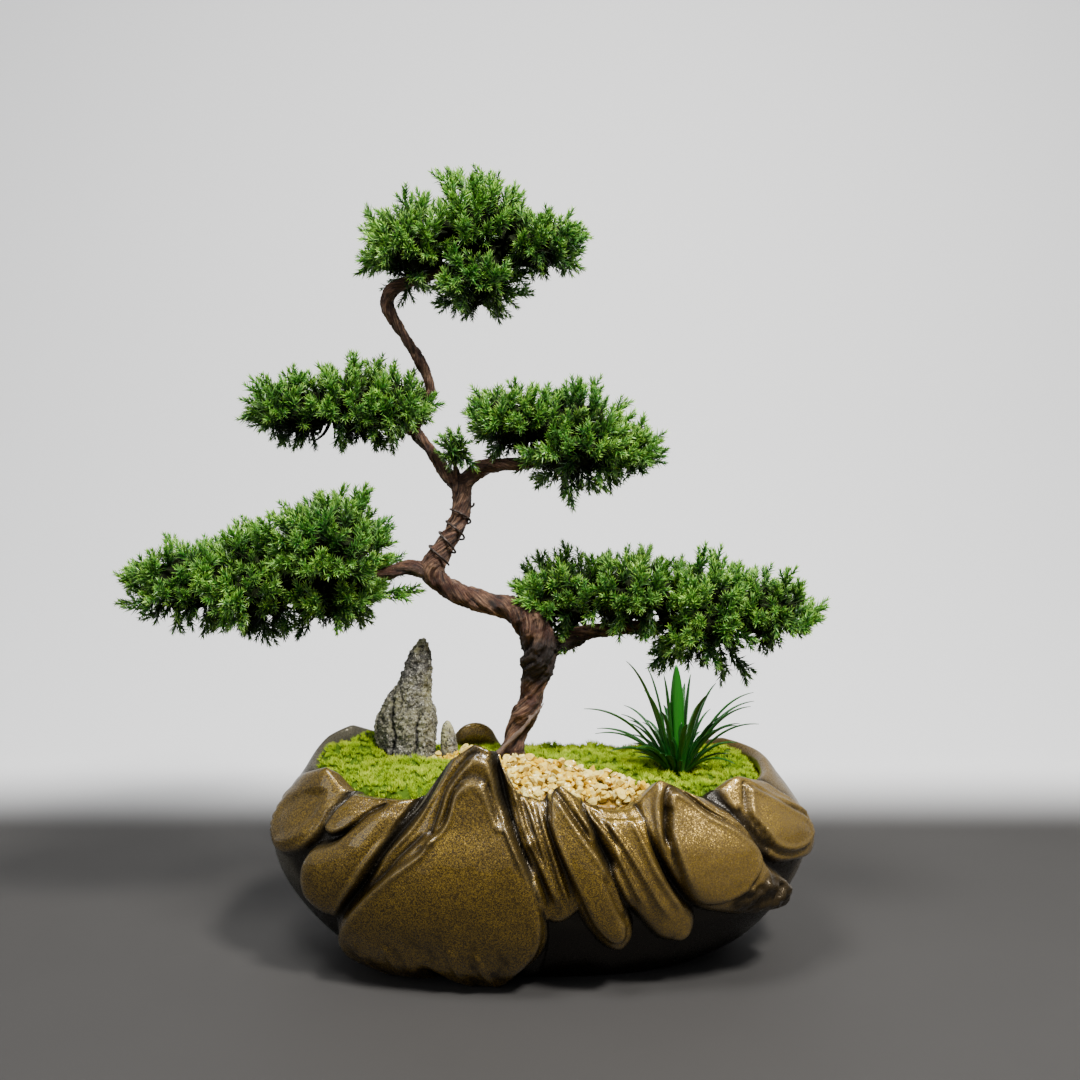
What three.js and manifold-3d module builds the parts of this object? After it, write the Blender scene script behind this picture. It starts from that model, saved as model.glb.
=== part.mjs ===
// Shimpaku juniper bonsai in a glazed ceramic pot with a relief of mountains.
// Millimetres, +Z up. The origin is the middle of the pot's flat underside and the front faces -Y.

import * as THREE from "three";
import { mergeVertices } from "three/addons/utils/BufferGeometryUtils.js";
import Module from "manifold-3d";

const wasm = await Module();
wasm.setup();

// Clearance between pieces that touch, and how close corners must be to count as one
const GAP = 0.4;
const WELD = 1e-4;
// How far a joined solid's surface may move when its shortest edges are taken out
const SLACK = 0.15;

// Pot: half sizes at its widest, and how its plan and its mesh are laid out
const POT_HALF_LENGTH = 185;
const POT_HALF_DEPTH = 101;
const POT_PLAN_POWER = 0.86;
const POT_COLUMNS = 56;
const POT_FRONT_SPACING = 0.55;
const POT_NECK_Z = 106;
const POT_FLOOR_Z = 10;
const DRAIN_HOLE_X = 60;
const DRAIN_HOLE_RADIUS = 7;
const DRAIN_SCREEN_SIZE = 28;
const DRAIN_SCREEN_THICKNESS = 1.2;
const SCREEN_OPENING = 8.4;

// Half length, half depth and height of the bare pot, up its outside and down its inside
const POT_OUTSIDE = [
  [120, 72, 0], [129, 77, 4], [146, 86, 14], [160, 92, 27], [172, 97, 42],
  [181, 100, 58], [POT_HALF_LENGTH, POT_HALF_DEPTH, 74], [183, 99, 91], [174, 94, POT_NECK_Z],
];
const POT_INSIDE = [[166, 88, 98], [175, 92, 76], [162, 85, 40], [120, 64, POT_FLOOR_Z]];

// Lip rows between the neck and the skyline: half length, half depth, share of the rise
const POT_LIP = [[167, 90, 0.5], [161, 86.5, 0.93], [157, 83.5, 1], [153.5, 80, 0.6]];

// Height of the rim along the pot's girth, where 0 is the front middle and left is negative
const SKYLINE = [
  [-460, 114], [-430, 117], [-398, 117], [-360, 115], [-325, 130], [-296, 139], [-268, 135],
  [-238, 127], [-205, 120], [-165, 131], [-146, 117], [-120, 116], [-85, 118], [-66, 141],
  [-46, 153], [-32, 147], [-15, 122], [2, 118], [14, 129], [32, 117], [50, 112], [66, 113],
  [84, 131], [105, 122], [125, 114], [150, 127], [185, 118], [212, 121], [236, 125], [270, 127],
  [302, 129], [335, 122], [380, 114], [460, 114],
];

// Rounded peak of the back rim: middle and radii
const BACK_DOME = new THREE.Vector3(-46, 87, 117);
const BACK_DOME_RADII = new THREE.Vector3(20, 7, 16.5);

// Rocks of the relief, as outlines along the girth and up the wall
const ROCK_BEVEL = 13;
const ROCKS = [
  {
    height: 9,
    outline: [
      [-150, 138], [-145, 117], [-144, 95], [-158, 80], [-184, 75], [-199, 95], [-205, 125], [-185, 138],
    ],
  },
  { height: 8, outline: [[-140, 118], [-112, 118], [-114, 106], [-132, 94], [-143, 98]] },
  {
    height: 11,
    outline: [
      [-108, 125], [-88, 119], [-104, 78], [-126, 52], [-146, 40], [-161, 53], [-149, 82], [-128, 93],
    ],
  },
  {
    height: 14,
    outline: [
      [-52, 165], [-66, 138], [-80, 112], [-108, 67], [-135, 43], [-160, 18], [-163, -12],
      [-38, -12], [-20, 8], [1, 26], [3, 50], [-13, 96], [-27, 122], [-33, 147], [-40, 165],
    ],
  },
  { height: 6, outline: [[-16, 128], [-2, 126], [10, 82], [22, 56], [10, 56], [0, 82]] },
  {
    height: 11,
    outline: [
      [12, 140], [5, 120], [4, 106], [15, 78], [24, 54], [40, 34], [56, 26], [62, 36],
      [53, 58], [37, 91], [30, 118], [20, 140],
    ],
  },
  {
    height: 9,
    outline: [
      [41, 120], [45, 96], [45, 69], [64, 49], [84, 33], [103, 32], [100, 48], [80, 68],
      [70, 92], [66, 120],
    ],
  },
  {
    height: 12,
    outline: [
      [76, 140], [67, 112], [71, 90], [93, 58], [124, 46], [166, 40], [190, 38], [170, 58],
      [144, 76], [129, 107], [104, 132], [88, 142],
    ],
  },
  {
    height: 9,
    outline: [
      [145, 135], [133, 112], [147, 78], [178, 70], [202, 69], [210, 82], [198, 104],
      [180, 124], [160, 136],
    ],
  },
];

// Ground inside the pot: half length, half depth and height, from the wall to the middle
const WALL_CLEARANCE = 0.6;
const SOIL_TOP = [[152, 79, 106], [100, 54, 111], [50, 27, 113.5], [0, 0, 114]];
const MOSS_TOP = [[152, 79, 112], [148, 76, 117], [110, 58, 120], [60, 31, 121.5], [0, 0, 122]];
const GRAVEL_TOP = [[152, 79, 111], [120, 64, 115], [60, 31, 117.5], [0, 0, 118.5]];
const MOSS_LUMP = 1.6;
const GRAVEL_LUMP = 0.5;
const STREAM = [
  [-84, 16], [-62, 14], [-54, -4], [-57, -24], [-53, -44], [-56, -66], [-53, -95], [80, -95],
  [74, -62], [56, -40], [32, -22], [10, -8], [-4, 2], [-28, 14], [-46, 34], [-70, 42], [-86, 34],
];
const MOSS_SPLITS = {
  moss_left: [-200, -52],
  moss_back: [-52, 30],
  moss_right: [30, 92],
  moss_far_right: [92, 200],
};
const GRASS_CLEARANCE = 4;

// Larger chips that stand out of the gravel
const CHIP_SEED = 20251;
const CHIP_COUNT = 22;
const CHIP_RADIUS = [2.4, 4.2];
const CHIP_REACH = [[-86, 78], [-78, 42]];
const CHIP_MOST_SHARE = 0.86;
const CHIP_FALL = 3.5;

// Wood, as points of a centre line with the radius there
const TRUNK = [
  [-20, 20, 88, 9], [-20, 20, 104, 13], [-20, 20, 117, 12], [-19.5, 20, 127, 8.5],
  [-17, 20, 140, 7.2], [-10, 20, 154, 9.6], [-6, 20, 166, 8], [-4, 18, 178, 9.2],
  [-1, 16, 191, 11.6], [-1, 14, 204, 12.2], [-8, 12, 219, 10.4], [-22, 11, 230, 8.7],
  [-43, 10, 235, 7.6], [-61, 9, 242, 7.2], [-76, 8, 255, 8], [-70, 9, 271, 7.2],
  [-61, 11, 285, 6.5], [-56, 13, 300, 6.1], [-57, 16, 316, 7], [-68, 19, 327, 4.6],
  [-80, 22, 344, 4.1], [-90, 24, 357, 4.1], [-86, 25, 370, 3.9], [-79, 25, 385, 3.7],
  [-85, 23, 404, 3.7], [-97, 21, 424, 3.8], [-109, 19, 444, 4.5], [-107, 18, 457, 4.9],
  [-94, 18, 464, 4.4], [-66, 19, 472, 3.4], [-34, 20, 482, 2.4],
];
const BRANCHES = [
  [[0, 14, 198, 7], [14, 20, 203, 6.6], [36, 28, 211, 5.4], [66, 34, 214, 4.4], [104, 36, 216, 3]],
  [[-76, 8, 255, 6], [-92, 7, 259, 5], [-112, 6, 254, 4.4], [-140, 5, 249, 3.6], [-172, 5, 246, 2.6]],
  [[-90, 24, 357, 3.6], [-102, 25, 361, 3.4], [-122, 26, 363, 2.8], [-142, 27, 365, 2.2]],
  [[-57, 16, 316, 5.6], [-44, 13, 329, 5.4], [-30, 11, 332, 5], [-8, 10, 334, 3.8], [16, 10, 338, 2.8]],
  [[-58, 15, 318, 2.6], [-60, 10, 330, 1.8], [-61, 7, 342, 1.2]],
];
const ROOTS = [
  [[-20, 20, 112, 8], [-34, 14, 113, 5], [-50, 6, 104, 2.6]],
  [[-20, 20, 112, 8], [-6, 12, 113.5, 5], [10, 2, 105, 2.4]],
  [[-20, 20, 112, 8], [-16, 36, 113, 5], [-12, 54, 102, 2.4]],
  [[-20, 20, 98, 7], [-46, 30, 74, 4], [-70, 36, 50, 2]],
  [[-20, 20, 98, 7], [4, 8, 72, 4], [26, -6, 48, 2]],
];
const TRUNK_SIDES = 8;
const TRUNK_STEPS = 44;
const BRANCH_SIDES = 6;
const ROOT_SIDES = 5;
const ROOT_STEPS = 3;
const TWIST_PER_MM = 0.035;
const BARK_SWELL = 0.1;

// Training wire: where it starts and ends along the trunk, and its turns
const WIRE_RADIUS = 0.8;
const WIRE_CLEARANCE = 0.9;
const WIRE_FROM = 0.432;
const WIRE_TO = 0.516;
const WIRE_TURNS = 4;
const WIRE_STEPS_PER_TURN = 11;
const WIRE_FRAMES = 400;

// Foliage: outer lobes of each pad, its shoots, and shoots that reach past the lobes
const VALLEY_DEPTH = 19;
const PEAK_DEPTH = 11;
const LEAST_CORE = 0.4;
const HIDDEN_SHARE = 0.97;
const SHOOT_SINK = 4;
const SHOOT_STEM = 1.5;
const NEEDLE_REACH = 4.8;
const NEEDLE_LEAN = 2.4;
const NEEDLE_PITCH = 3;
const PAD_SEED = 311;
const PAD_SEED_STEP = 97;
const PADS = {
  foliage_apex: {
    lobes: [
      [-88, 16, 488, 40, 42, 38], [-44, 26, 498, 46, 50, 46], [-4, 16, 490, 38, 38, 28],
      [-46, 14, 464, 38, 40, 28],
    ],
    sprigs: [[-130, 14, 472], [34, 22, 503], [-72, 12, 543]],
  },
  foliage_upper_left: {
    lobes: [[-174, 26, 372, 40, 42, 29], [-134, 30, 376, 44, 48, 36], [-104, 24, 374, 32, 38, 28]],
    sprigs: [[-214, 26, 371], [-98, 12, 352]],
  },
  foliage_upper_right: {
    lobes: [[-16, 12, 364, 40, 42, 28], [24, 8, 350, 44, 48, 42], [52, 16, 344, 36, 38, 25]],
    sprigs: [[87, 10, 351], [22, 4, 303]],
  },
  foliage_lower_left: {
    lobes: [
      [-246, 4, 248, 46, 46, 34], [-202, 10, 248, 50, 54, 44], [-150, 2, 272, 50, 56, 44],
      [-154, 12, 242, 48, 48, 31],
    ],
    sprigs: [[-292, 2, 249], [-84, -2, 241], [-121, 2, 317]],
  },
  foliage_lower_right: {
    lobes: [
      [18, 38, 238, 42, 46, 34], [66, 34, 240, 50, 54, 33], [118, 40, 224, 54, 58, 46],
      [162, 36, 226, 44, 46, 33],
    ],
    sprigs: [[206, 36, 221], [20, 20, 196], [79, 22, 188], [155, 34, 177]],
  },
  foliage_fork_tuft: { lobes: [[-61, 7, 344, 12, 12, 16]], sprigs: [[-48, 4, 328]] },
};

// Stones, as stations of height, middle, half width and half depth
const STONE_SIDES = 10;
const CRACKS_ROUND = 3;
const CRACK_TURN_PER_ROW = 0.9;
const STANDING_STONE = {
  y: 33,
  stations: [
    [110, -96, 22, 15], [122, -97, 22.5, 17], [138, -98, 25, 17], [150, -97, 24, 15.5],
    [163, -96, 17.5, 13], [177, -91, 12.5, 10], [189, -88.5, 9.5, 8], [199, -87, 6.5, 6],
    [206, -86, 2, 2],
  ],
  roughness: 0.1,
};
const SMALL_STONE = {
  y: 30,
  stations: [
    [110, -65, 5.5, 5], [120, -66, 7, 6.5], [132, -67, 6.5, 6], [141, -68, 4.5, 4.5],
    [146, -68, 1.5, 1.5],
  ],
  roughness: 0.08,
};

// Grass: the crown that the blades stand in, the blades' tips, and where a blade bends
const CROWN = { x: 95, y: -16, bottom: 98, top: 121, radius: 8 };
const CROWN_SIDES = 9;
const BLADE_SINK = 6;
const BEND_ALONG = 0.42;
const BEND_RISE = 0.72;
const BEND_LIFT = 0.22;
const BLADE_THICKNESS = 1;
const BLADE_WIDTH = 3;
const BLADE_STEPS = 4;
const BLADE_TIPS = [
  [59, -22, 196], [74, -12, 191], [84, -26, 188], [30, -20, 163], [37, -36, 149], [40, -2, 146],
  [63, -50, 142], [147, -18, 174], [142, -34, 167], [150, -6, 166], [149, -28, 154], [142, 6, 148],
  [131, -44, 156], [128, -56, 133], [96, -62, 160], [78, -56, 168], [112, -48, 178], [104, -14, 186],
  [60, 12, 160], [90, 26, 158], [70, -34, 178], [122, -14, 180], [46, -50, 140],
  [104, 14, 176], [134, -26, 141],
];
const BROAD_BLADE_TIP = [93, -24, 194];
const BROAD_BLADE_WIDTH = 6.5;

// Colours and finishes
const FINISHES = {
  glaze: { color: 0x6b5528, roughness: 0.32, metalness: 0.55 },
  screen: { color: 0x202020, roughness: 0.6, metalness: 0 },
  soil: { color: 0x3a2c20, roughness: 0.95, metalness: 0 },
  bark: { color: 0x5a3a2a, roughness: 0.85, metalness: 0 },
  wire: { color: 0x1d1614, roughness: 0.5, metalness: 0.3 },
  needles: { color: 0x3f7a35, roughness: 0.6, metalness: 0 },
  stone: { color: 0x77746a, roughness: 0.9, metalness: 0 },
  grass: { color: 0x1e4d1c, roughness: 0.45, metalness: 0 },
  moss: { color: 0x86a52a, roughness: 0.95, metalness: 0 },
  gravel: { color: 0xe3bb6a, roughness: 0.4, metalness: 0 },
};

// Seeded draws between two limits
function makeDraw(seed) {
  let state = seed;
  return (low, high) => {
    state = (state * 16807) % 2147483647;
    return low + ((high - low) * state) / 2147483647;
  };
}

// Closed solid of a geometry, with its doubled vertices and flat triangles taken out
function toSolid(geometry) {
  const bare = geometry.clone();
  bare.deleteAttribute("normal");
  bare.deleteAttribute("uv");
  const merged = mergeVertices(bare, WELD);
  const corners = merged.index.array;
  const triVerts = [];
  for (let i = 0; i < corners.length; i += 3) {
    const [a, b, c] = [corners[i], corners[i + 1], corners[i + 2]];
    if (a !== b && b !== c && c !== a) triVerts.push(a, b, c);
  }
  return new wasm.Manifold(
    new wasm.Mesh({
      numProp: 3,
      vertProperties: new Float32Array(merged.attributes.position.array),
      triVerts: new Uint32Array(triVerts),
    }),
  );
}

function toGeometry(solid) {
  const mesh = solid.getMesh();
  const geometry = new THREE.BufferGeometry();
  geometry.setAttribute("position", new THREE.BufferAttribute(new Float32Array(mesh.vertProperties), 3));
  geometry.setIndex(new THREE.BufferAttribute(new Uint32Array(mesh.triVerts), 1));
  geometry.computeVertexNormals();
  return geometry;
}

function fuse(solids) {
  return wasm.Manifold.union(solids);
}

// The body that everything hangs together in, without loose scraps
function largestBody(solid) {
  return solid.decompose().reduce((best, body) => (body.volume() > best.volume() ? body : best));
}

// Moves every vertex of a geometry by a rule that gets and changes a Vector3
function reshape(geometry, rule) {
  const position = geometry.attributes.position;
  const point = new THREE.Vector3();
  for (let i = 0; i < position.count; i += 1) {
    point.fromBufferAttribute(position, i);
    rule(point, i);
    position.setXYZ(i, point.x, point.y, point.z);
  }
  return geometry;
}

// Height of a line of [x, height] points at x
function lineHeight(line, x) {
  const next = line.findIndex(([place]) => place >= x);
  if (next <= 0) return line[next < 0 ? line.length - 1 : 0][1];
  const [[x0, h0], [x1, h1]] = [line[next - 1], line[next]];
  return THREE.MathUtils.mapLinear(x, x0, x1, h0, h1);
}

// Distance from a point to an outline, positive inside it
function insideDistance(point, outline) {
  let nearest = Infinity;
  let inside = false;
  outline.forEach(([ax, ay], i) => {
    const [bx, by] = outline[(i + 1) % outline.length];
    const edge = new THREE.Line3(new THREE.Vector3(ax, ay, 0), new THREE.Vector3(bx, by, 0));
    const foot = edge.closestPointToPoint(point, true, new THREE.Vector3());
    nearest = Math.min(nearest, foot.distanceTo(point));
    const crosses = ay > point.y !== by > point.y;
    if (crosses && point.x < ax + ((bx - ax) * (point.y - ay)) / (by - ay)) inside = !inside;
  });
  return inside ? nearest : -nearest;
}

// The pot's plan at its widest, from the back middle round the left end to the front and on
function makePlan() {
  const flatten = (value) => Math.sign(value) * Math.abs(value) ** POT_PLAN_POWER;
  const corners = [];
  const cornerCount = 120;
  for (let i = 0; i < cornerCount; i += 1) {
    const angle = -Math.PI + (2 * Math.PI * i) / cornerCount;
    const x = POT_HALF_LENGTH * flatten(Math.sin(angle));
    const y = -POT_HALF_DEPTH * flatten(Math.cos(angle));
    corners.push(new THREE.Vector3(x, y, 0));
  }
  const plan = new THREE.CatmullRomCurve3(corners, true);
  plan.arcLengthDivisions = 1200;
  return plan;
}

const plan = makePlan();
const GIRTH = plan.getLength();

// Place along the girth of a column, closer together at the front
function columnArc(column, columns) {
  const t = (2 * column) / columns - 1;
  return (GIRTH / 2) * (POT_FRONT_SPACING * t + (1 - POT_FRONT_SPACING) * t ** 3);
}

// Solid that follows the plan: rows of half length, half depth and height from axis to axis
function planSolid(rows, columns, place) {
  const lathe = new THREE.LatheGeometry(rows.map(() => new THREE.Vector2(1, 0)), columns);
  return toSolid(
    reshape(lathe, (point, i) => {
      const column = Math.floor(i / rows.length) % columns;
      const [halfLength, halfDepth, height] = rows[i % rows.length];
      const arc = columnArc(column, columns);
      const share = THREE.MathUtils.euclideanModulo(arc / GIRTH + 0.5, 1);
      const onPlan = plan.getPointAt(share);
      const x = (onPlan.x / POT_HALF_LENGTH) * halfLength;
      const y = (onPlan.y / POT_HALF_DEPTH) * halfDepth;
      point.set(x, y, height);
      if (place) place(point, { arc, share, row: i % rows.length });
    }),
  );
}

// How far the rocks stand out of the wall at a place
function rockRelief(arc, height) {
  const point = new THREE.Vector3(arc, height, 0);
  return ROCKS.reduce((most, rock) => {
    const rise = THREE.MathUtils.smoothstep(insideDistance(point, rock.outline), -1, ROCK_BEVEL);
    return Math.max(most, rise * rock.height);
  }, 0);
}

function makePot() {
  const lipStart = 1 + POT_OUTSIDE.length;
  const insideStart = lipStart + POT_LIP.length;
  const rows = [[0, 0, 0], ...POT_OUTSIDE, ...POT_LIP, ...POT_INSIDE, [0, 0, POT_FLOOR_Z]];
  const body = planSolid(rows, POT_COLUMNS, (point, { arc, share, row }) => {
    if (row >= lipStart && row < insideStart) {
      point.z = THREE.MathUtils.lerp(POT_NECK_Z, lineHeight(SKYLINE, arc), rows[row][2]);
    }
    if (row > 0 && row < insideStart - 1) {
      const tangent = plan.getTangentAt(share);
      const relief = rockRelief(arc, point.z);
      point.x += tangent.y * relief;
      point.y -= tangent.x * relief;
    }
  });
  const dome = new THREE.SphereGeometry(1, 12, 4);
  dome.scale(...BACK_DOME_RADII).translate(...BACK_DOME);
  const hole = new THREE.CylinderGeometry(DRAIN_HOLE_RADIUS, DRAIN_HOLE_RADIUS, 3 * POT_FLOOR_Z, 16);
  hole.rotateX(Math.PI / 2);
  const holes = [-1, 1].map((side) => toSolid(hole.clone().translate(side * DRAIN_HOLE_X, 0, 0)));
  return fuse([body, toSolid(dome)]).subtract(fuse(holes));
}

// Plastic mesh screen over a drainage hole
function makeScreen(side, grow = 0) {
  const size = DRAIN_SCREEN_SIZE + 2 * grow;
  const bottom = POT_FLOOR_Z + GAP - grow;
  const height = DRAIN_SCREEN_THICKNESS + 2 * grow;
  const plate = new THREE.BoxGeometry(size, size, height);
  plate.translate(side * DRAIN_HOLE_X, 0, bottom + height / 2);
  if (grow > 0) return toSolid(plate);
  const pitch = DRAIN_SCREEN_SIZE / 4;
  const openings = [];
  for (const i of [-1, 1]) {
    for (const j of [-1, 1]) {
      const opening = new THREE.BoxGeometry(SCREEN_OPENING, SCREEN_OPENING, 4 * height);
      openings.push(toSolid(opening.translate(side * DRAIN_HOLE_X + i * pitch, j * pitch, bottom)));
    }
  }
  return toSolid(plate).subtract(fuse(openings));
}

// Soil that fills the pot
function makeSoilBody(grow = 0) {
  const wall = POT_INSIDE.toReversed().map(([x, y, z]) => [x - WALL_CLEARANCE, y - WALL_CLEARANCE, z]);
  wall[0][2] += GAP;
  const top = SOIL_TOP.map(([x, y, z]) => [x, y, z + grow]);
  return planSolid([[0, 0, POT_FLOOR_Z + GAP], ...wall, ...top], POT_COLUMNS / 2);
}

// Layer on the soil, up to a lumpy top
function makeLayer(top, lump) {
  const bottom = SOIL_TOP[0][2] - 4;
  const rows = [[0, 0, bottom], [top[0][0], top[0][1], bottom], ...top];
  return planSolid(rows, POT_COLUMNS / 2, (point, { row }) => {
    if (row > 2) point.z += lump * Math.sin(0.11 * point.x + 1) * Math.cos(0.16 * point.y);
  });
}

// Upright prism on an outline that is moved outwards or inwards
function makePrism(outline, offset) {
  const depth = 60;
  const leastMiter = 0.5;
  const points = outline.map(([x, y]) => new THREE.Vector2(x, y));
  const corners = points.map((point, i) => {
    const before = point.clone().sub(points.at(i - 1)).normalize();
    const after = points[(i + 1) % points.length].clone().sub(point).normalize();
    const miter = before.clone().add(after).normalize();
    const stretch = offset / Math.max(leastMiter, miter.dot(before));
    return new THREE.Vector2(point.x + miter.y * stretch, point.y - miter.x * stretch);
  });
  const prism = new THREE.ExtrudeGeometry(new THREE.Shape(corners), { depth, bevelEnabled: false });
  return toSolid(prism.translate(0, 0, SOIL_TOP[0][2] - depth / 2));
}

// Everything between two upright planes
function makeSlab(fromX, toX) {
  const size = 4 * POT_HALF_LENGTH;
  return toSolid(new THREE.BoxGeometry(toX - fromX, size, size).translate((fromX + toX) / 2, 0, 0));
}

// Tapering limb along a curve, with twisted swellings of bark
function makeLimb(stations, sides, steps, grow = 0) {
  const curve = new THREE.CatmullRomCurve3(stations.map(([x, y, z]) => new THREE.Vector3(x, y, z)));
  const frames = curve.computeFrenetFrames(steps);
  const length = curve.getLength();
  const limb = new THREE.CylinderGeometry(1, 1, 1, sides, steps);
  return toSolid(
    reshape(limb, (point) => {
      const along = point.y + 0.5;
      const step = Math.round(along * steps);
      const radius = limbRadius(stations, curve, along);
      const angle = Math.atan2(point.z, point.x) + TWIST_PER_MM * along * length;
      const swell = 1 + BARK_SWELL * Math.sin(2 * angle);
      const reach = Math.hypot(point.x, point.z) > 0 ? radius * swell + grow : 0;
      const heading = Math.atan2(point.z, point.x);
      const end = (along - 0.5) * 2;
      const tip = Math.abs(end) === 1 ? end * grow : 0;
      point
        .copy(curve.getPointAt(along))
        .addScaledVector(frames.binormals[step], Math.cos(heading) * reach)
        .addScaledVector(frames.normals[step], Math.sin(heading) * reach)
        .addScaledVector(frames.tangents[step], tip);
    }),
  );
}

// Radius between the stations of a limb, at a share of its length
function limbRadius(stations, curve, along) {
  const place = curve.getUtoTmapping(along) * (stations.length - 1);
  const before = Math.min(Math.floor(place), stations.length - 2);
  return THREE.MathUtils.lerp(stations[before][3], stations[before + 1][3], place - before);
}

function makeWood(grow = 0) {
  const trunk = makeLimb(TRUNK, TRUNK_SIDES, TRUNK_STEPS, grow);
  const branches = BRANCHES.map((stations) => {
    return makeLimb(stations, BRANCH_SIDES, 2 * stations.length, grow);
  });
  const roots = ROOTS.map((stations) => makeLimb(stations, ROOT_SIDES, ROOT_STEPS, grow));
  return fuse([trunk, ...branches, ...roots]);
}

// Wire wound round the bend of the trunk
function makeWire() {
  const curve = new THREE.CatmullRomCurve3(TRUNK.map(([x, y, z]) => new THREE.Vector3(x, y, z)));
  const steps = WIRE_TURNS * WIRE_STEPS_PER_TURN;
  const frames = curve.computeFrenetFrames(WIRE_FRAMES);
  const points = [];
  for (let i = 0; i <= steps; i += 1) {
    const along = THREE.MathUtils.lerp(WIRE_FROM, WIRE_TO, i / steps);
    const frame = Math.round(along * WIRE_FRAMES);
    const angle = (2 * Math.PI * i) / WIRE_STEPS_PER_TURN;
    const bark = limbRadius(TRUNK, curve, along) * (1 + BARK_SWELL);
    const reach = bark + WIRE_CLEARANCE + WIRE_RADIUS / 2;
    points.push(
      curve
        .getPointAt(along)
        .addScaledVector(frames.binormals[frame], Math.cos(angle) * reach)
        .addScaledVector(frames.normals[frame], Math.sin(angle) * reach),
    );
  }
  const section = new THREE.Shape([0, 1, 2, 3].map((k) => {
    const angle = (k * Math.PI) / 2;
    return new THREE.Vector2(WIRE_RADIUS * Math.cos(angle), WIRE_RADIUS * Math.sin(angle));
  }));
  const path = new THREE.CatmullRomCurve3(points);
  return toSolid(new THREE.ExtrudeGeometry(section, { steps, extrudePath: path }));
}

// Shoot from a base to a tip: a slim three-sided stem with its needles raised from it in a spiral
function makeShoot(base, tip, draw) {
  const sides = 3;
  const axis = tip.clone().sub(base);
  const length = axis.length();
  const visible = length - SHOOT_SINK;
  const rows = 1 + Math.max(3, Math.round(visible / NEEDLE_PITCH));
  const turn = new THREE.Quaternion().setFromUnitVectors(new THREE.Vector3(0, 1, 0), axis.normalize());
  const roll = draw(0, 2 * Math.PI);
  const shoot = new THREE.CylinderGeometry(1, 1, 1, sides, rows);
  return toSolid(
    reshape(shoot, (point) => {
      const row = Math.round((0.5 - point.y) * rows);
      const isTip = row === 0;
      const isBase = row === rows;
      const onAxis = Math.hypot(point.x, point.z) < 0.5;
      const heading = Math.atan2(point.x, point.z);
      const column = Math.round((heading * sides) / (2 * Math.PI) + sides) % sides;
      const isNeedle = !onAxis && !isTip && !isBase && (column - row + sides * rows) % sides === 0;
      let spread = isTip ? 0.6 * SHOOT_STEM : SHOOT_STEM;
      let height = isBase ? 0 : SHOOT_SINK + (visible * (rows - row)) / rows;
      if (isNeedle) spread = NEEDLE_REACH * (0.75 + 0.25 * Math.min(1, (3 * row) / rows));
      if (isNeedle) height += NEEDLE_LEAN;
      if (onAxis) spread = 0;
      if (onAxis && isTip) height += NEEDLE_LEAN;
      point.set(spread * Math.sin(heading + roll), height, spread * Math.cos(heading + roll));
      point.applyQuaternion(turn).add(base);
    }),
  );
}

// Point of a lobe in a direction from its middle, a depth under its outer surface
function inLobe([x, y, z, ...radii], direction, depth) {
  const [rx, ry, rz] = radii.map((radius) => Math.max(LEAST_CORE * radius, radius - depth));
  return new THREE.Vector3(x + rx * direction.x, y + ry * direction.y, z + rz * direction.z);
}

// How far out a point is in a lobe: 0 in its middle, 1 on its outer surface
function lobeShare(point, [x, y, z, rx, ry, rz]) {
  return Math.hypot((point.x - x) / rx, (point.y - y) / ry, (point.z - z) / rz);
}

// Adds a shoot that stands in the surface it grows from
function addShoot(solids, root, tip, draw) {
  const direction = tip.clone().sub(root).normalize();
  solids.push(makeShoot(root.clone().addScaledVector(direction, -SHOOT_SINK), tip, draw));
}

// The twelve corners of an icosahedron
function icosahedronCorners() {
  const doubled = new THREE.IcosahedronGeometry(1, 0).attributes.position;
  const corners = [];
  for (let i = 0; i < doubled.count; i += 1) {
    const corner = new THREE.Vector3().fromBufferAttribute(doubled, i);
    if (!corners.some((other) => other.distanceTo(corner) < 0.1)) corners.push(corner);
  }
  return corners;
}

// Foliage pad: each lobe has a small rugged core, whose twelve corners stand out and bear the shoots
function makePad({ lobes, sprigs }, seed) {
  const draw = makeDraw(seed);
  const corners = icosahedronCorners();
  const solids = [];
  lobes.forEach((lobe) => {
    const turn = new THREE.Quaternion(draw(-1, 1), draw(-1, 1), draw(-1, 1), draw(-1, 1)).normalize();
    const core = reshape(new THREE.IcosahedronGeometry(1, 1), (point) => {
      const isCorner = corners.some((corner) => corner.distanceTo(point) < 0.1);
      const depth = isCorner ? PEAK_DEPTH : VALLEY_DEPTH;
      point.copy(inLobe(lobe, point.clone().applyQuaternion(turn), depth));
    });
    solids.push(toSolid(core));
    corners.forEach((corner) => {
      const direction = corner.clone().applyQuaternion(turn);
      const tip = inLobe(lobe, direction, draw(-1, 2));
      const hidden = lobes.some((other) => other !== lobe && lobeShare(tip, other) < HIDDEN_SHARE);
      if (!hidden) addShoot(solids, inLobe(lobe, direction, PEAK_DEPTH), tip, draw);
    });
  });
  sprigs.forEach((place) => {
    const tip = new THREE.Vector3(...place);
    const closer = (lobe, other) => (lobeShare(tip, lobe) < lobeShare(tip, other) ? lobe : other);
    const nearest = lobes.reduce(closer);
    const [x, y, z, rx, ry, rz] = nearest;
    const direction = new THREE.Vector3((tip.x - x) / rx, (tip.y - y) / ry, (tip.z - z) / rz);
    addShoot(solids, inLobe(nearest, direction.normalize(), VALLEY_DEPTH), tip, draw);
  });
  return fuse(solids);
}

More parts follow.
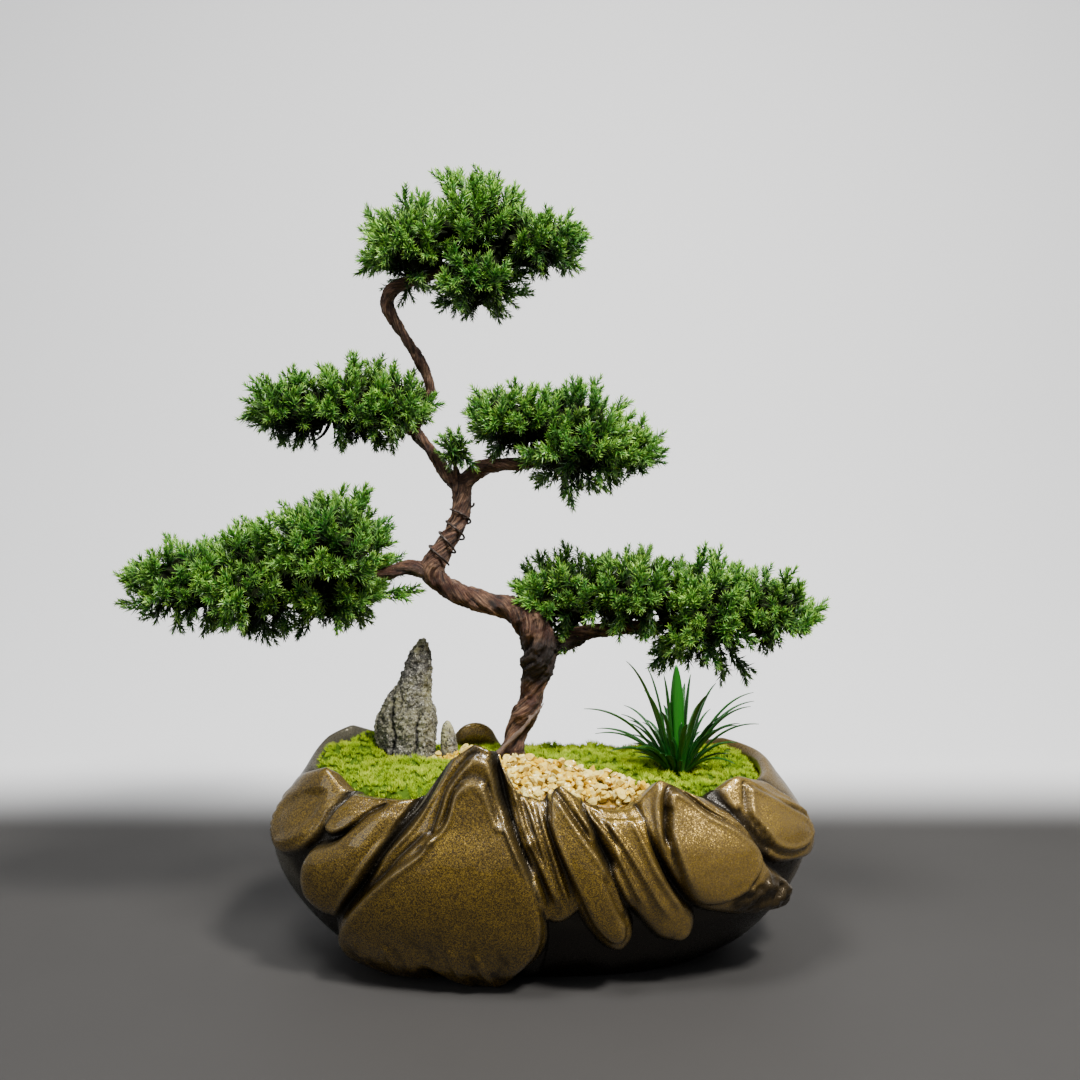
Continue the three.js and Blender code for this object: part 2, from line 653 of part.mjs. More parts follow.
// Rough stone built up from its stations, with shallow cracks that wander round it
function makeStone({ y, stations, roughness }, grow = 0) {
  const steps = stations.length - 1;
  const stone = new THREE.CylinderGeometry(1, 1, 1, STONE_SIDES, steps);
  return toSolid(
    reshape(stone, (point) => {
      const row = Math.round((point.y + 0.5) * steps);
      const [height, middle, halfWidth, halfDepth] = stations[row];
      const heading = Math.atan2(point.z, point.x);
      const wave = 0.5 + 0.5 * Math.sin(CRACKS_ROUND * heading + CRACK_TURN_PER_ROW * row);
      const crack = 1 - roughness * wave;
      const onAxis = Math.hypot(point.x, point.z) < 0.5;
      const spreadX = onAxis ? 0 : halfWidth * crack + grow;
      const spreadY = onAxis ? 0 : halfDepth * crack + grow;
      const end = row === 0 ? -grow : 0;
      point.set(middle + spreadX * Math.cos(heading), y - spreadY * Math.sin(heading), height + end);
    }),
  );
}

// Crown of the grass
function makeCrown(grow = 0) {
  const height = CROWN.top - CROWN.bottom + grow;
  const lowerRadius = 0.8 * CROWN.radius + grow;
  const crown = new THREE.CylinderGeometry(CROWN.radius + grow, lowerRadius, height, CROWN_SIDES);
  return toSolid(crown.rotateX(Math.PI / 2).translate(CROWN.x, CROWN.y, CROWN.top - height / 2));
}

// Arching blade of grass with a ridge down its back, from the crown to its tip
function makeBlade(place, width) {
  const tip = new THREE.Vector3(...place);
  const middle = new THREE.Vector3(CROWN.x, CROWN.y, CROWN.top);
  const out = tip.clone().sub(middle).setZ(0);
  const spread = out.length();
  const footRadius = Math.min(0.6 * CROWN.radius, 0.4 * spread);
  const foot = middle.clone().addScaledVector(out, footRadius / Math.max(spread, 1));
  foot.z -= BLADE_SINK;
  const bend = foot.clone().lerp(tip, BEND_ALONG);
  bend.z = foot.z + (tip.z - foot.z) * BEND_RISE + spread * BEND_LIFT;
  const curve = new THREE.QuadraticBezierCurve3(foot, bend, tip);
  const across = new THREE.Vector3(-out.y, out.x, 0).normalize();
  if (across.length() < 0.5) across.set(1, 0, 0);
  const blade = new THREE.CylinderGeometry(1, 1, 1, 3, BLADE_STEPS);
  return toSolid(
    reshape(blade, (point) => {
      const along = point.y + 0.5;
      const tangent = curve.getTangent(along);
      const back = new THREE.Vector3().crossVectors(tangent, across).normalize();
      const taper = Math.max(0.25, Math.sin(Math.PI * (0.22 + 0.74 * along)));
      const sideways = (point.x * width * taper) / Math.sqrt(3);
      const thickness = (point.z * BLADE_THICKNESS * (3 + taper)) / 6;
      point
        .copy(curve.getPoint(along))
        .addScaledVector(across, -sideways)
        .addScaledVector(back, thickness);
    }),
  );
}

// Clump of grass: all its blades joined in the crown
function makeGrass() {
  const blades = BLADE_TIPS.map((tip) => makeBlade(tip, BLADE_WIDTH));
  return fuse([makeCrown(), makeBlade(BROAD_BLADE_TIP, BROAD_BLADE_WIDTH), ...blades]);
}

// Bed of the gravel stream with its chips sunk half into it
function makeGravel() {
  const draw = makeDraw(CHIP_SEED);
  const bed = makeLayer(GRAVEL_TOP, GRAVEL_LUMP);
  const [, , middleTop] = GRAVEL_TOP.at(-1);
  const chips = [];
  while (chips.length < CHIP_COUNT) {
    const [x, y] = CHIP_REACH.map((limits) => draw(...limits));
    const depth = insideDistance(new THREE.Vector3(x, y, 0), STREAM);
    const share = Math.hypot(x / POT_INSIDE[0][0], y / POT_INSIDE[0][1]);
    if (depth < CHIP_RADIUS[1] || share > CHIP_MOST_SHARE) continue;
    const radius = draw(...CHIP_RADIUS);
    const chip = new THREE.OctahedronGeometry(radius);
    chip.scale(draw(0.8, 1.2), draw(0.8, 1.1), draw(0.7, 0.9));
    chip.rotateX(draw(0, 3)).rotateY(draw(0, 3)).rotateZ(draw(0, 3));
    chips.push(toSolid(chip.translate(x, y, middleTop - CHIP_FALL * share ** 2)));
  }
  return fuse([bed, ...chips]).intersect(makePrism(STREAM, -GAP / 2));
}

function finish(name) {
  return new THREE.MeshStandardMaterial({ name, ...FINISHES[name] });
}

const finishes = Object.fromEntries(Object.keys(FINISHES).map((name) => [name, finish(name)]));
const bonsai = new THREE.Group();

function addPiece(name, solid, finishName) {
  const body = largestBody(solid.asOriginal().simplify(SLACK));
  const mesh = new THREE.Mesh(toGeometry(body), finishes[finishName]);
  mesh.name = name;
  bonsai.add(mesh);
}

const wood = makeWood();
const woodSpace = makeWood(GAP);
const stones = { standing_stone: makeStone(STANDING_STONE), small_stone: makeStone(SMALL_STONE) };
const stoneSpaces = [makeStone(STANDING_STONE, GAP), makeStone(SMALL_STONE, GAP)];
const plantedSpace = fuse([woodSpace, makeCrown(GAP), ...stoneSpaces]);
const bladeSpace = makeCrown(GRASS_CLEARANCE);
const screenSpaces = [-1, 1].map((side) => makeScreen(side, GAP));

addPiece("pot", makePot(), "glaze");
addPiece("drain_screen_left", makeScreen(-1), "screen");
addPiece("drain_screen_right", makeScreen(1), "screen");
addPiece("soil", largestBody(makeSoilBody().subtract(fuse([plantedSpace, ...screenSpaces]))), "soil");
addPiece("trunk", wood, "bark");
addPiece("training_wire", makeWire(), "wire");

Object.entries(PADS).forEach(([name, pad], i) => {
  const seed = PAD_SEED + PAD_SEED_STEP * i;
  addPiece(name, largestBody(makePad(pad, seed).subtract(woodSpace)), "needles");
});

Object.entries(stones).forEach(([name, solid]) => addPiece(name, solid, "stone"));
addPiece("grass_clump", largestBody(makeGrass()), "grass");

const groundSpace = fuse([plantedSpace, bladeSpace, makeSoilBody(GAP)]);
const moss = makeLayer(MOSS_TOP, MOSS_LUMP).subtract(fuse([groundSpace, makePrism(STREAM, GAP / 2)]));
Object.entries(MOSS_SPLITS).forEach(([name, [fromX, toX]]) => {
  addPiece(name, largestBody(moss.intersect(makeSlab(fromX + GAP / 2, toX - GAP / 2))), "moss");
});
addPiece("gravel", largestBody(makeGravel().subtract(groundSpace)), "gravel");

export default bonsai;
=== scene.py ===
"""Juniper bonsai in a glazed mountain pot, dressed around its solid model.

Lists of places are in millimetres, as in the solid model, and MM turns them into metres.
"""

import math
import random

import bmesh
import bpy
import numpy as np
from bpy.props import FloatProperty, FloatVectorProperty, IntProperty, PointerProperty
from bpy.types import Operator, Panel, PropertyGroup
from mathutils import Matrix, Vector, noise


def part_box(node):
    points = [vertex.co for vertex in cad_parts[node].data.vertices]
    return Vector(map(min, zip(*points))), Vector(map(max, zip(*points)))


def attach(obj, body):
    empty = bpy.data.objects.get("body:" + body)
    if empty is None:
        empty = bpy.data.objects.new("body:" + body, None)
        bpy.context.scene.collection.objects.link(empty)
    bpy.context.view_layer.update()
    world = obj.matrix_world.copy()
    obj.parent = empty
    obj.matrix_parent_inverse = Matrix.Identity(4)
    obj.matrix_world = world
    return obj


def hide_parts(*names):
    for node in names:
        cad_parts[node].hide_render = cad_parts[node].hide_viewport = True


bl_info = {
    "name": "Juniper bonsai",
    "version": (1, 0, 0),
    "blender": (4, 5, 0),
    "location": "3D View > Sidebar > Bonsai",
    "description": "Builds the fine surfaces of a juniper bonsai, its pot and its planted ground",
    "category": "Add Mesh",
}

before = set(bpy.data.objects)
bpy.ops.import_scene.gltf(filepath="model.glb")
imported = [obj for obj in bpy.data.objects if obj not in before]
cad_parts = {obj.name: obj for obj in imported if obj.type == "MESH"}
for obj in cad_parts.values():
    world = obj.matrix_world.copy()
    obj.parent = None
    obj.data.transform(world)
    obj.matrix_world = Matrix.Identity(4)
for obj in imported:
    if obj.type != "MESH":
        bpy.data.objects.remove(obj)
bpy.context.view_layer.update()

MM = 0.001
UP = Vector((0, 0, 1))

# Plan of the pot at its widest, its neck, its floor and its drainage holes
POT_HALF_LENGTH = 185
POT_HALF_DEPTH = 101
POT_PLAN_POWER = 0.86
POT_NECK_Z = 106
POT_FLOOR_Z = 10
DRAIN_HOLE_X = 60
DRAIN_HOLE_RADIUS = 7

# Wall of the pot, up the outside and down the inside: half length, half depth and height
POT_OUTSIDE = [
    (120, 72, 0), (129, 77, 4), (146, 86, 14), (160, 92, 27), (172, 97, 42),
    (181, 100, 58), (185, 101, 74), (183, 99, 91), (174, 94, 106),
]
POT_INSIDE = [(166, 88, 98), (175, 92, 76), (162, 85, 40), (120, 64, 10)]

# Lip of the pot: half length, half depth and share of the rise from the neck to the skyline
POT_LIP = [(167, 90, 0.5), (161, 86.5, 0.93), (157, 83.5, 1), (153.5, 80, 0.6)]

# Height of the rim along the girth, where 0 is the front middle and left is negative
SKYLINE = [
    (-460, 114), (-430, 117), (-398, 117), (-360, 115), (-325, 130), (-296, 139), (-268, 135),
    (-238, 127), (-205, 120), (-165, 131), (-146, 117), (-120, 116), (-85, 118), (-66, 141),
    (-46, 153), (-32, 147), (-15, 122), (2, 118), (14, 129), (32, 117), (50, 112), (66, 113),
    (84, 131), (105, 122), (125, 114), (150, 127), (185, 118), (212, 121), (236, 125), (270, 127),
    (302, 129), (335, 122), (380, 114), (460, 114),
]

# Usual rise from the neck to the skyline
TYPICAL_RISE = 22

# Rounded peak of the back rim: middle along the girth, half width and rise
BACK_DOME = (-411, 21, 17)

# Share of the columns of the wall's mesh that is spread evenly, while the rest crowds at the front
EVEN_COLUMNS = 0.5

# How many rows and columns round a place tell whether it lies in a narrow or in a wide groove
NARROW_REACH = 4
WIDE_REACH = 11

# Rocks of the relief: height, width of the rounded edge, and the outline along the girth and up
ROCKS = [
    (7, 11, [(-150, 138), (-145, 117), (-144, 95), (-158, 80), (-184, 75), (-199, 95), (-205, 125),
             (-185, 138)]),
    (8, 9, [(-140, 118), (-112, 118), (-114, 106), (-132, 94), (-143, 98)]),
    (11, 12, [(-108, 125), (-88, 119), (-104, 78), (-126, 52), (-146, 40), (-161, 53), (-149, 82),
              (-128, 93)]),
    (9, 9, [(-52, 165), (-66, 138), (-80, 112), (-108, 67), (-135, 43), (-160, 18), (-163, 4),
            (-150, -12), (-112, -12), (-96, 4), (-86, 12), (-78, 2), (-66, -12), (-40, -12),
            (-20, 8), (1, 26), (3, 50), (-13, 96), (-27, 122), (-33, 147), (-40, 165)]),
    (6.5, 6, [(-30, 147), (-18, 130), (-2, 126), (6, 118), (10, 100), (18, 80), (26, 62), (22, 52),
              (12, 46), (2, 52), (-6, 80), (-18, 108)]),
    (11, 10, [(12, 140), (5, 120), (4, 106), (15, 78), (24, 54), (40, 34), (56, 26), (62, 36),
              (53, 58), (37, 91), (30, 118), (20, 140)]),
    (7, 6, [(26, 124), (36, 118), (46, 112), (52, 96), (64, 72), (72, 58), (64, 50), (54, 62),
            (44, 84), (34, 104)]),
    (9, 8, [(41, 120), (45, 96), (45, 69), (64, 49), (84, 33), (103, 32), (100, 48), (80, 68),
            (70, 92), (66, 120)]),
    (12, 12, [(76, 140), (67, 112), (71, 90), (93, 58), (124, 46), (166, 40), (184, 42), (168, 58),
              (144, 76), (129, 107), (104, 132), (88, 142)]),
    (5.5, 9, [(145, 135), (133, 112), (147, 78), (178, 70), (200, 69), (207, 82), (196, 104),
              (180, 124), (160, 136)]),
]

# How fast a rock still rises past its edge, and how far from the edge it stops
BELLY_SLOPE = 0.04
BELLY_REACH = 30

# Bead along the upper edges of the rocks, and the crease outside it: height, distance and half width
BEAD = (1.5, 2.6, 1.5)
CREASE = (1.6, -1.2, 1.3)
BEAD_FROM_Z = 50
BEAD_FULL_Z = 95

# Steps on the rocks: height, width of the edge, and the outline
STEPS = [
    (2.4, 3, [(-72, 92), (-66, 112), (-62, 128), (-51, 143), (-44, 147), (-36, 145), (-30, 134),
              (-26, 120), (-18, 104), (-8, 86), (4, 60), (4, 20), (-20, 0), (-150, -5), (-150, 20),
              (-128, 42), (-100, 68)]),
    (2.8, 3, [(-72, 99), (-66, 101), (-60, 110), (-57, 125), (-51, 132), (-44, 134), (-37, 131),
              (-32, 122), (-26, 109), (-20, 107), (-13, 95), (-6, 81), (0, 67), (2, 50), (0, 32),
              (-8, 20), (-24, 6), (-38, -2), (-57, -4), (-84, 3), (-90, 12), (-110, 3), (-140, -2),
              (-156, 4), (-150, 22), (-137, 38), (-118, 53), (-98, 70), (-84, 86)]),
    (2.4, 3, [(6, 121), (9, 125), (14, 121), (20, 113), (28, 101), (38, 86), (50, 60), (56, 38),
              (48, 34), (34, 46), (22, 68), (12, 90), (6, 108)]),
    (2.8, 4, [(86, 122), (92, 126), (101, 121), (111, 111), (124, 102), (134, 91), (138, 80),
              (131, 68), (120, 58), (100, 56), (88, 68), (82, 84), (80, 100), (83, 112)]),
    (1.6, 4, [(152, 122), (164, 117), (180, 105), (192, 96), (195, 86), (186, 79), (168, 78),
              (152, 84), (146, 96), (143, 108)]),
]

# Shallow hollow in the rock at the left end: depth, width of the edge, and the outline
HOLLOW = (2.6, 9, [(-156, 121), (-151, 111), (-153, 98), (-166, 86), (-184, 80), (-196, 92), (-197, 106),
                   (-182, 116), (-168, 121)])

# How much bolder than their listed heights the steps and folds stand out
STEP_BOLDNESS = 1.3
FOLD_BOLDNESS = 1.35

# Folds and creases: height, half width, and the line along the girth and up
FOLDS = [
    (2.4, 1.9, [(-72, 138), (-80, 120), (-92, 100), (-118, 64), (-143, 38), (-163, 18)]),
    (1.6, 1.4, [(-65, 141), (-72, 124), (-78, 108), (-86, 95), (-108, 72), (-130, 50)]),
    (1.8, 1.6, [(-31, 146), (-26, 138), (-22, 132), (-18, 126), (-15, 116)]),
    (2.2, 1.5, [(-31, 141), (-28, 128), (-24, 116), (-20, 106), (-12, 96), (-4, 80), (0, 68), (5, 52)]),
    (2.6, 1.5, [(-20, 130), (-15, 117), (-10, 104), (-6, 96), (1, 82), (7, 68), (12, 54)]),
    (2.4, 1.4, [(-14, 126), (-6, 112), (0, 97), (6, 78), (12, 62), (17, 50)]),
    (2.4, 1.5, [(-2, 121), (2, 106), (8, 88), (13, 72), (19, 56)]),
    (2, 1.6, [(20, 124), (28, 110), (36, 98), (42, 84), (50, 68), (58, 54)]),
    (2.4, 1.5, [(28, 119), (36, 108), (44, 96), (50, 82), (57, 68), (66, 54)]),
    (2.2, 1.6, [(38, 114), (46, 104), (54, 90), (62, 76), (72, 60), (84, 46)]),
    (2, 2, [(57, 116), (60, 106), (64, 92), (70, 78), (80, 64), (92, 50)]),
    (2.2, 2, [(86, 131), (80, 122), (76, 110), (74, 100), (76, 88)]),
    (1.8, 1.8, [(90, 131), (104, 124), (112, 116), (120, 108), (130, 100), (138, 88), (146, 74)]),
    (1.6, 2.2, [(151, 127), (164, 119), (176, 110), (190, 102), (202, 94)]),
    (1.2, 3, [(-60, 34), (-62, 16), (-64, -4)]),
    (1.2, 3, [(-44, 30), (-42, 12), (-38, -4)]),
    (1.2, 3, [(-104, 32), (-108, 16), (-112, -4)]),
    (1, 3, [(-128, 30), (-134, 14), (-138, -4)]),
    (-3, 1.8, [(-136, 90), (-128, 94), (-120, 102), (-114, 110), (-104, 116)]),
    (-2.6, 1.8, [(37, 80), (43, 68), (49, 56), (56, 46)]),
    (-3.4, 2, [(86, 118), (83, 110), (79, 100), (77, 92)]),
    (-3, 2, [(137, 112), (138, 101), (142, 90), (150, 80)]),
]

# Small round nubs: place along the girth and up, height and radius
NUBS = [(-24, 110, 2.4, 3), (-6, 96, 2.4, 3), (-70, 99, 2.4, 4), (98, 30, 3, 5)]

# Rough knob at the right: its height and its outline
KNOB_HEIGHT = 1.5
KNOB = [
    (124, 66), (134, 66), (144, 72), (158, 66), (172, 57), (184, 47), (180, 38), (158, 41), (140, 40),
    (126, 46), (118, 55),
]

# Wood, as points of a centre line with the radius there
TRUNK = [
    (-20, 20, 88, 9), (-20, 20, 104, 13), (-20, 20, 117, 12), (-19.5, 20, 127, 8.5),
    (-17, 20, 140, 7.2), (-10, 20, 154, 9.6), (-6, 20, 166, 8), (-4, 18, 178, 9.2),
    (-1, 16, 191, 11.6), (-1, 14, 204, 12.2), (-8, 12, 219, 10.4), (-22, 11, 230, 8.7),
    (-43, 10, 235, 7.6), (-61, 9, 242, 7.2), (-76, 8, 255, 8), (-70, 9, 271, 7.2),
    (-61, 11, 285, 6.5), (-56, 13, 300, 6.1), (-57, 16, 316, 7), (-68, 19, 327, 4.6),
    (-80, 22, 344, 4.1), (-90, 24, 357, 4.1), (-86, 25, 370, 3.9), (-79, 25, 385, 3.7),
    (-85, 23, 404, 3.7), (-97, 21, 424, 3.8), (-109, 19, 444, 4.5), (-107, 18, 457, 4.9),
    (-94, 18, 464, 4.4), (-66, 19, 472, 3.4), (-34, 20, 482, 2.4),
]
BRANCHES = [
    [(0, 14, 198, 7), (14, 20, 203, 6.6), (36, 28, 211, 5.4), (66, 34, 214, 4.4), (104, 36, 216, 3)],
    [(-76, 8, 255, 6), (-92, 7, 259, 5), (-112, 6, 254, 4.4), (-140, 5, 249, 3.6), (-172, 5, 246, 2.6)],
    [(-90, 24, 357, 3.6), (-102, 25, 361, 3.4), (-122, 26, 363, 2.8), (-142, 27, 365, 2.2)],
    [(-57, 16, 316, 5.6), (-44, 13, 329, 5.4), (-30, 11, 332, 5), (-8, 10, 334, 3.8), (16, 10, 338, 2.8)],
    [(-58, 15, 318, 2.6), (-60, 10, 330, 1.8), (-61, 7, 342, 1.2)],
]
ROOTS = [
    [(-20, 20, 112, 8), (-34, 14, 113, 5), (-50, 6, 104, 2.6)],
    [(-20, 20, 112, 8), (-6, 12, 113.5, 5), (10, 2, 105, 2.4)],
    [(-20, 20, 112, 8), (-16, 36, 113, 5), (-12, 54, 102, 2.4)],
    [(-20, 20, 98, 7), (-46, 30, 74, 4), (-70, 36, 50, 2)],
    [(-20, 20, 98, 7), (4, 8, 72, 4), (26, -6, 48, 2)],
]

# Length of one step along the wood, and how far its section is from round, as a share of its radius
LIMB_STEP = 1.6
BARK_SWELL = 0.1

# What each limb's grain is shifted by, so that no two limbs have the same
GRAIN_SHIFT = 211

# Thick and thin strands of bark round the wood
STRANDS = 5
THIN_STRANDS = 12

# Knots in the bark: place and radius
KNOTS = [
    ((-7, 11, 164), 3.6), ((-14, 12, 150), 3), ((3, 4, 188), 3.4), ((-8, 3, 214), 3), ((-52, 3, 239), 2.8),
    ((-74, 2, 262), 3), ((-58, 7, 296), 2.6), ((-84, 20, 350), 2.2), ((-108, 14, 452), 2.6),
]

# Painted shade on the trunk below the lowest branch and its pad: near-black bark between two heights, with a
# rougher crust
SHADE_FROM_Z = 172
SHADE_TO_Z = 216

# The foot of the trunk is dark below one height, and partly darker below another
DARK_BELOW_Z = 112
DARKER_BELOW_Z = 132

# Bare strip of dead wood that crosses the foot of the trunk
BARE_STRIP = [
    (-44, 10, 112, 3), (-35, 8, 121, 2.6), (-26, 8, 131, 1.9), (-14, 7, 143, 1.8), (-5, 8, 153, 1.3),
    (3, 11, 162, 0.9),
]

# Training wire: its radius, its distance from the bark, the shares of the trunk where it starts and
# ends, and its turns
WIRE_RADIUS = 0.8
WIRE_REACH = 1.3
WIRE_FROM = 0.432
WIRE_TO = 0.516
WIRE_TURNS = 4
STEPS_PER_TURN = 40

# Foliage pads: lobes as a middle and three radii, and the tips of sprigs that reach past them
PADS = {
    "foliage_apex": {
        "lobes": [
            (-88, 16, 488, 40, 42, 38), (-44, 26, 498, 46, 50, 46), (-4, 16, 490, 38, 38, 28),
            (-46, 14, 464, 38, 40, 28),
        ],
        "sprigs": [(-130, 14, 472), (34, 22, 503), (-72, 12, 543)],
    },
    "foliage_upper_left": {
        "lobes": [
            (-174, 26, 372, 40, 42, 29), (-134, 30, 376, 44, 48, 36), (-104, 24, 374, 32, 38, 28),
        ],
        "sprigs": [(-214, 26, 371), (-98, 12, 352)],
    },
    "foliage_upper_right": {
        "lobes": [(-16, 12, 364, 40, 42, 28), (24, 8, 350, 44, 48, 42), (52, 16, 344, 36, 38, 25)],
        "sprigs": [(87, 10, 351), (22, 4, 303)],
    },
    "foliage_lower_left": {
        "lobes": [
            (-246, 4, 248, 46, 46, 34), (-202, 10, 248, 50, 54, 44), (-150, 2, 272, 50, 56, 44),
            (-154, 12, 242, 48, 48, 31),
        ],
        "sprigs": [(-292, 2, 249), (-84, -2, 241), (-121, 2, 317)],
    },
    "foliage_lower_right": {
        "lobes": [
            (18, 38, 238, 42, 46, 34), (66, 34, 240, 50, 54, 33), (118, 40, 224, 54, 58, 46),
            (162, 36, 226, 44, 46, 33),
        ],
        "sprigs": [(206, 36, 221), (20, 20, 196), (79, 22, 188), (155, 34, 177)],
    },
    "foliage_fork_tuft": {"lobes": [(-61, 7, 344, 12, 12, 16)], "sprigs": [(-48, 4, 328)]},
}

# Layers of shoots on a lobe: share of its radii, spacing over the usual spacing, and kind of shoot
SHOOT_LAYERS = [(0.86, 1.0, "small"), (1.0, 1.05, "leading")]
TUFT_LAYERS = [(1.05, 0.6, "small")]

# Different sprays of each kind
SMALL_SPRAYS = 6
LEADING_SPRAYS = 7

# Share of the places under a pad that have no shoot, and the twigs in each of its lobes
BARE_UNDERSIDE = 0.45
TWIGS_PER_LOBE = 16

# A tip this deep in a neighbouring lobe, as a share of that lobe's radii, has no shoot
BURIED_SHARE = 0.88

# Size of the dark core of a lobe, as a share of the lobe's radii; its near-black colour is painted shade
CORE_SHARE = 0.52

# Whorls of needles on a shoot: distance between them, needles in each, and the bare share of its foot
WHORL_GAP = 1.7
WHORL_SIZE = 3
BARE_FOOT = 0.1

# Lean of a needle away from its shoot, in degrees, at the foot and how much less it is at the tip
NEEDLE_LEAN = 54
LEAN_LOST = 28

# Upright cracks in the front of the standing stone: place, half width, and lowest and highest point
STONE_CRACKS = [(-107, 1.1, 100, 176), (-89, 0.9, 100, 162), (-101, 0.5, 150, 178)]
CRACK_DEPTH = 2.4

# Depth of the crags, as a share of a stone's width
CRAG_SHARE = 0.036

# Grass: the crown that the blades stand in, and their tips
CROWN = (95, -16, 121)
CROWN_RADIUS = 8
BLADE_SINK = 6
BLADE_TIPS = [
    (59, -22, 196), (74, -12, 191), (84, -26, 188), (30, -20, 163), (37, -36, 149), (40, -2, 146),
    (63, -50, 142), (147, -18, 174), (142, -34, 167), (150, -6, 166), (149, -28, 154), (142, 6, 148),
    (131, -44, 156), (128, -56, 133), (96, -62, 160), (78, -56, 168), (112, -48, 178), (104, -14, 186),
    (60, 12, 160), (118, 22, 162), (90, 26, 158), (70, -34, 178), (122, -14, 180), (46, -50, 140),
    (104, 14, 176), (134, -26, 141),
]
BROAD_BLADE_TIP = (93, -24, 194)
BLADE_STEPS = 18
BLADE_COLUMNS = 4
BLADE_THICKNESS = 0.35

# Where a blade bends: share of its reach, share of its rise, and lift over its reach
BEND_AT = 0.42
BEND_RISE = 0.72
BEND_LIFT = 0.22

# Knolls of moss along the rim: middle, radius and rise
MOSS_KNOLLS = [
    (-130, 46, 13, 12), (-148, 26, 30, 15), (-150, -6, 20, 9), (-108, 62, 22, 9), (140, 28, 24, 8),
    (116, 58, 26, 6), (-128, -38, 24, 3),
]

# Different tufts of moss, directions of the spikes of one tuft, and radius of a spike at its foot
TUFT_KINDS = 8
TUFT_DIRECTIONS = 26
SPIKE_RADIUS = 0.5

# Different chips, cuts on each, and distance between chips on the bed and on its front, in chip radii
CHIP_KINDS = 12
CHIP_CUTS = 7
CHIP_GAP = 1.9
FRONT_CHIP_GAP = 2.4

# Stream of gravel, seen from above
STREAM = [
    (-84, 16), (-62, 14), (-54, -4), (-57, -24), (-53, -44), (-56, -66), (-53, -95), (80, -95),
    (74, -62), (56, -40), (32, -22), (10, -8), (-4, 2), (-28, 14), (-46, 34), (-70, 42), (-86, 34),
]

# How high the chips are heaped along the middle of the stream
STREAM_HEAP = 7

# Chips in front of this line and nearer than this to the stream's edge spill over the front rim
SPILL_FROM_Y = -70
STREAM_SPILL = 6

# Depths, in metres, between which the dark floor fades into the pale backdrop
FLOOR_FADE_FROM = 0.25
FLOOR_FADE_TO = 0.55

# How much of the backdrop is missing from what the glaze and the leaves mirror
MIRROR_DIMMING = 0.6

# Backdrop, in metres: its depth behind the pot, its height, and the radius of its bend
BACKDROP_DEPTH = 1.1
BACKDROP_HEIGHT = 3.2
BACKDROP_BEND = 0.5

# Lights: name, place and target in metres, width, power and tint
LIGHTS = [
    ("key_light", (0.6, -0.7, 1.4), (-0.02, 0, 0.22), 0.25, 46, (1, 0.985, 0.96)),
    ("top_light", (-0.3, -0.4, 1.3), (0, 0, 0.2), 0.4, 18, (1, 1, 1)),
    ("fill_light", (-1.5, -1.3, 0.9), (0, 0, 0.25), 1.0, 6, (0.93, 0.96, 1)),
]
SKY_COLOUR = (0.9, 0.93, 1.0, 1.0)
SKY_STRENGTH = 0.36

# Camera: width of its sensor and focal length in millimetres, and its tilt from straight down
SENSOR_WIDTH = 36
FOCAL_LENGTH = 36.03
CAMERA_TILT = 89


def size(label, about, millimetres):
    """A length that a user may change"""
    return FloatProperty(
        name=label, description=about, default=millimetres * MM, min=0.0, precision=5, unit="LENGTH"
    )


def amount(label, about, default, high=1.0):
    """A plain number that a user may change"""
    return FloatProperty(name=label, description=about, default=default, min=0.0, max=high)


def colour(label, about, red, green, blue):
    """A colour that a user may change"""
    return FloatVectorProperty(
        name=label, description=about, default=(red, green, blue, 1.0), size=4, min=0.0, max=1.0,
        subtype="COLOR",
    )


class PotSettings(PropertyGroup):
    """Sizes and colours of the pot"""

    row_height: size("Row height", "Height of one row of the wall's mesh", 1.6)
    columns: IntProperty(name="Columns", description="Columns of the mesh round the girth", default=460)
    rock: colour("Rock glaze", "Brown body of the glaze on the rocks", 0.047, 0.027, 0.003)
    # Painted light: the lighter glaze of the right side of the pot, which faces the light; on the back dome
    # it is the dome's own warm glaze
    warm_and_lit: colour("Warm glaze", "Lighter body of the glaze on the right", 0.17, 0.107, 0.03)
    gold: colour("Gold flecks", "Flecks that float in the glaze", 0.46, 0.29, 0.035)
    # Pale gold along the ridges: partly wear, partly a painted highlight
    worn_and_highlight: colour("Worn edge", "Pale gold along the ridges", 0.5, 0.38, 0.17)
    # Near-black glaze: pooled glaze in the grooves and on steep sides, partly painted shade there, and
    # painted shade below the rocks, low on them and on the knob
    deep: colour("Deep glaze", "Near-black glaze that pools in the grooves", 0.008, 0.005, 0.002)
    shell: colour("Shell glaze", "Plain satin glaze of the back and the ends", 0.075, 0.07, 0.05)


class WoodSettings(PropertyGroup):
    """Sizes and colours of the wood"""

    skin: size("Mesh size", "Mesh size of the bark", 1.3)
    twist: amount("Twist", "Turns of the bark's fibres, in radians for each millimetre", 0.075)
    strand_depth: amount("Strand depth", "Depth of the twisted strands, as a share of the radius", 0.2)
    fibre_depth: size("Fibre depth", "Depth of the fine fibres", 0.5)
    light: colour("Light bark", "Peeling outer fibres", 0.44, 0.25, 0.14)
    bark: colour("Bark", "Body of the bark", 0.07, 0.025, 0.013)
    # Near-black bark: dark fine fibres, the dark foot, and painted shade in the hollows between the strands
    deep_bark_and_shade: colour("Hollow bark", "Bark deep between the strands", 0.008, 0.004, 0.003)
    # Painted shade: near-black bark for the band below the lowest branch, also used for the darker foot
    black_bark_and_shade: colour("Old bark", "Near-black old bark below the lowest branch", 0.008, 0.006, 0.005)
    grey: colour("Weathered wood", "Grey weathered wood of the bare strip", 0.2, 0.15, 0.12)


class WireSettings(PropertyGroup):
    """Sizes and colours of the training wire"""

    metal: colour("Wire", "Dark anodised wire", 0.028, 0.019, 0.015)
    scuffed: colour("Scuffed wire", "Wire where the colour has rubbed off", 0.12, 0.09, 0.075)


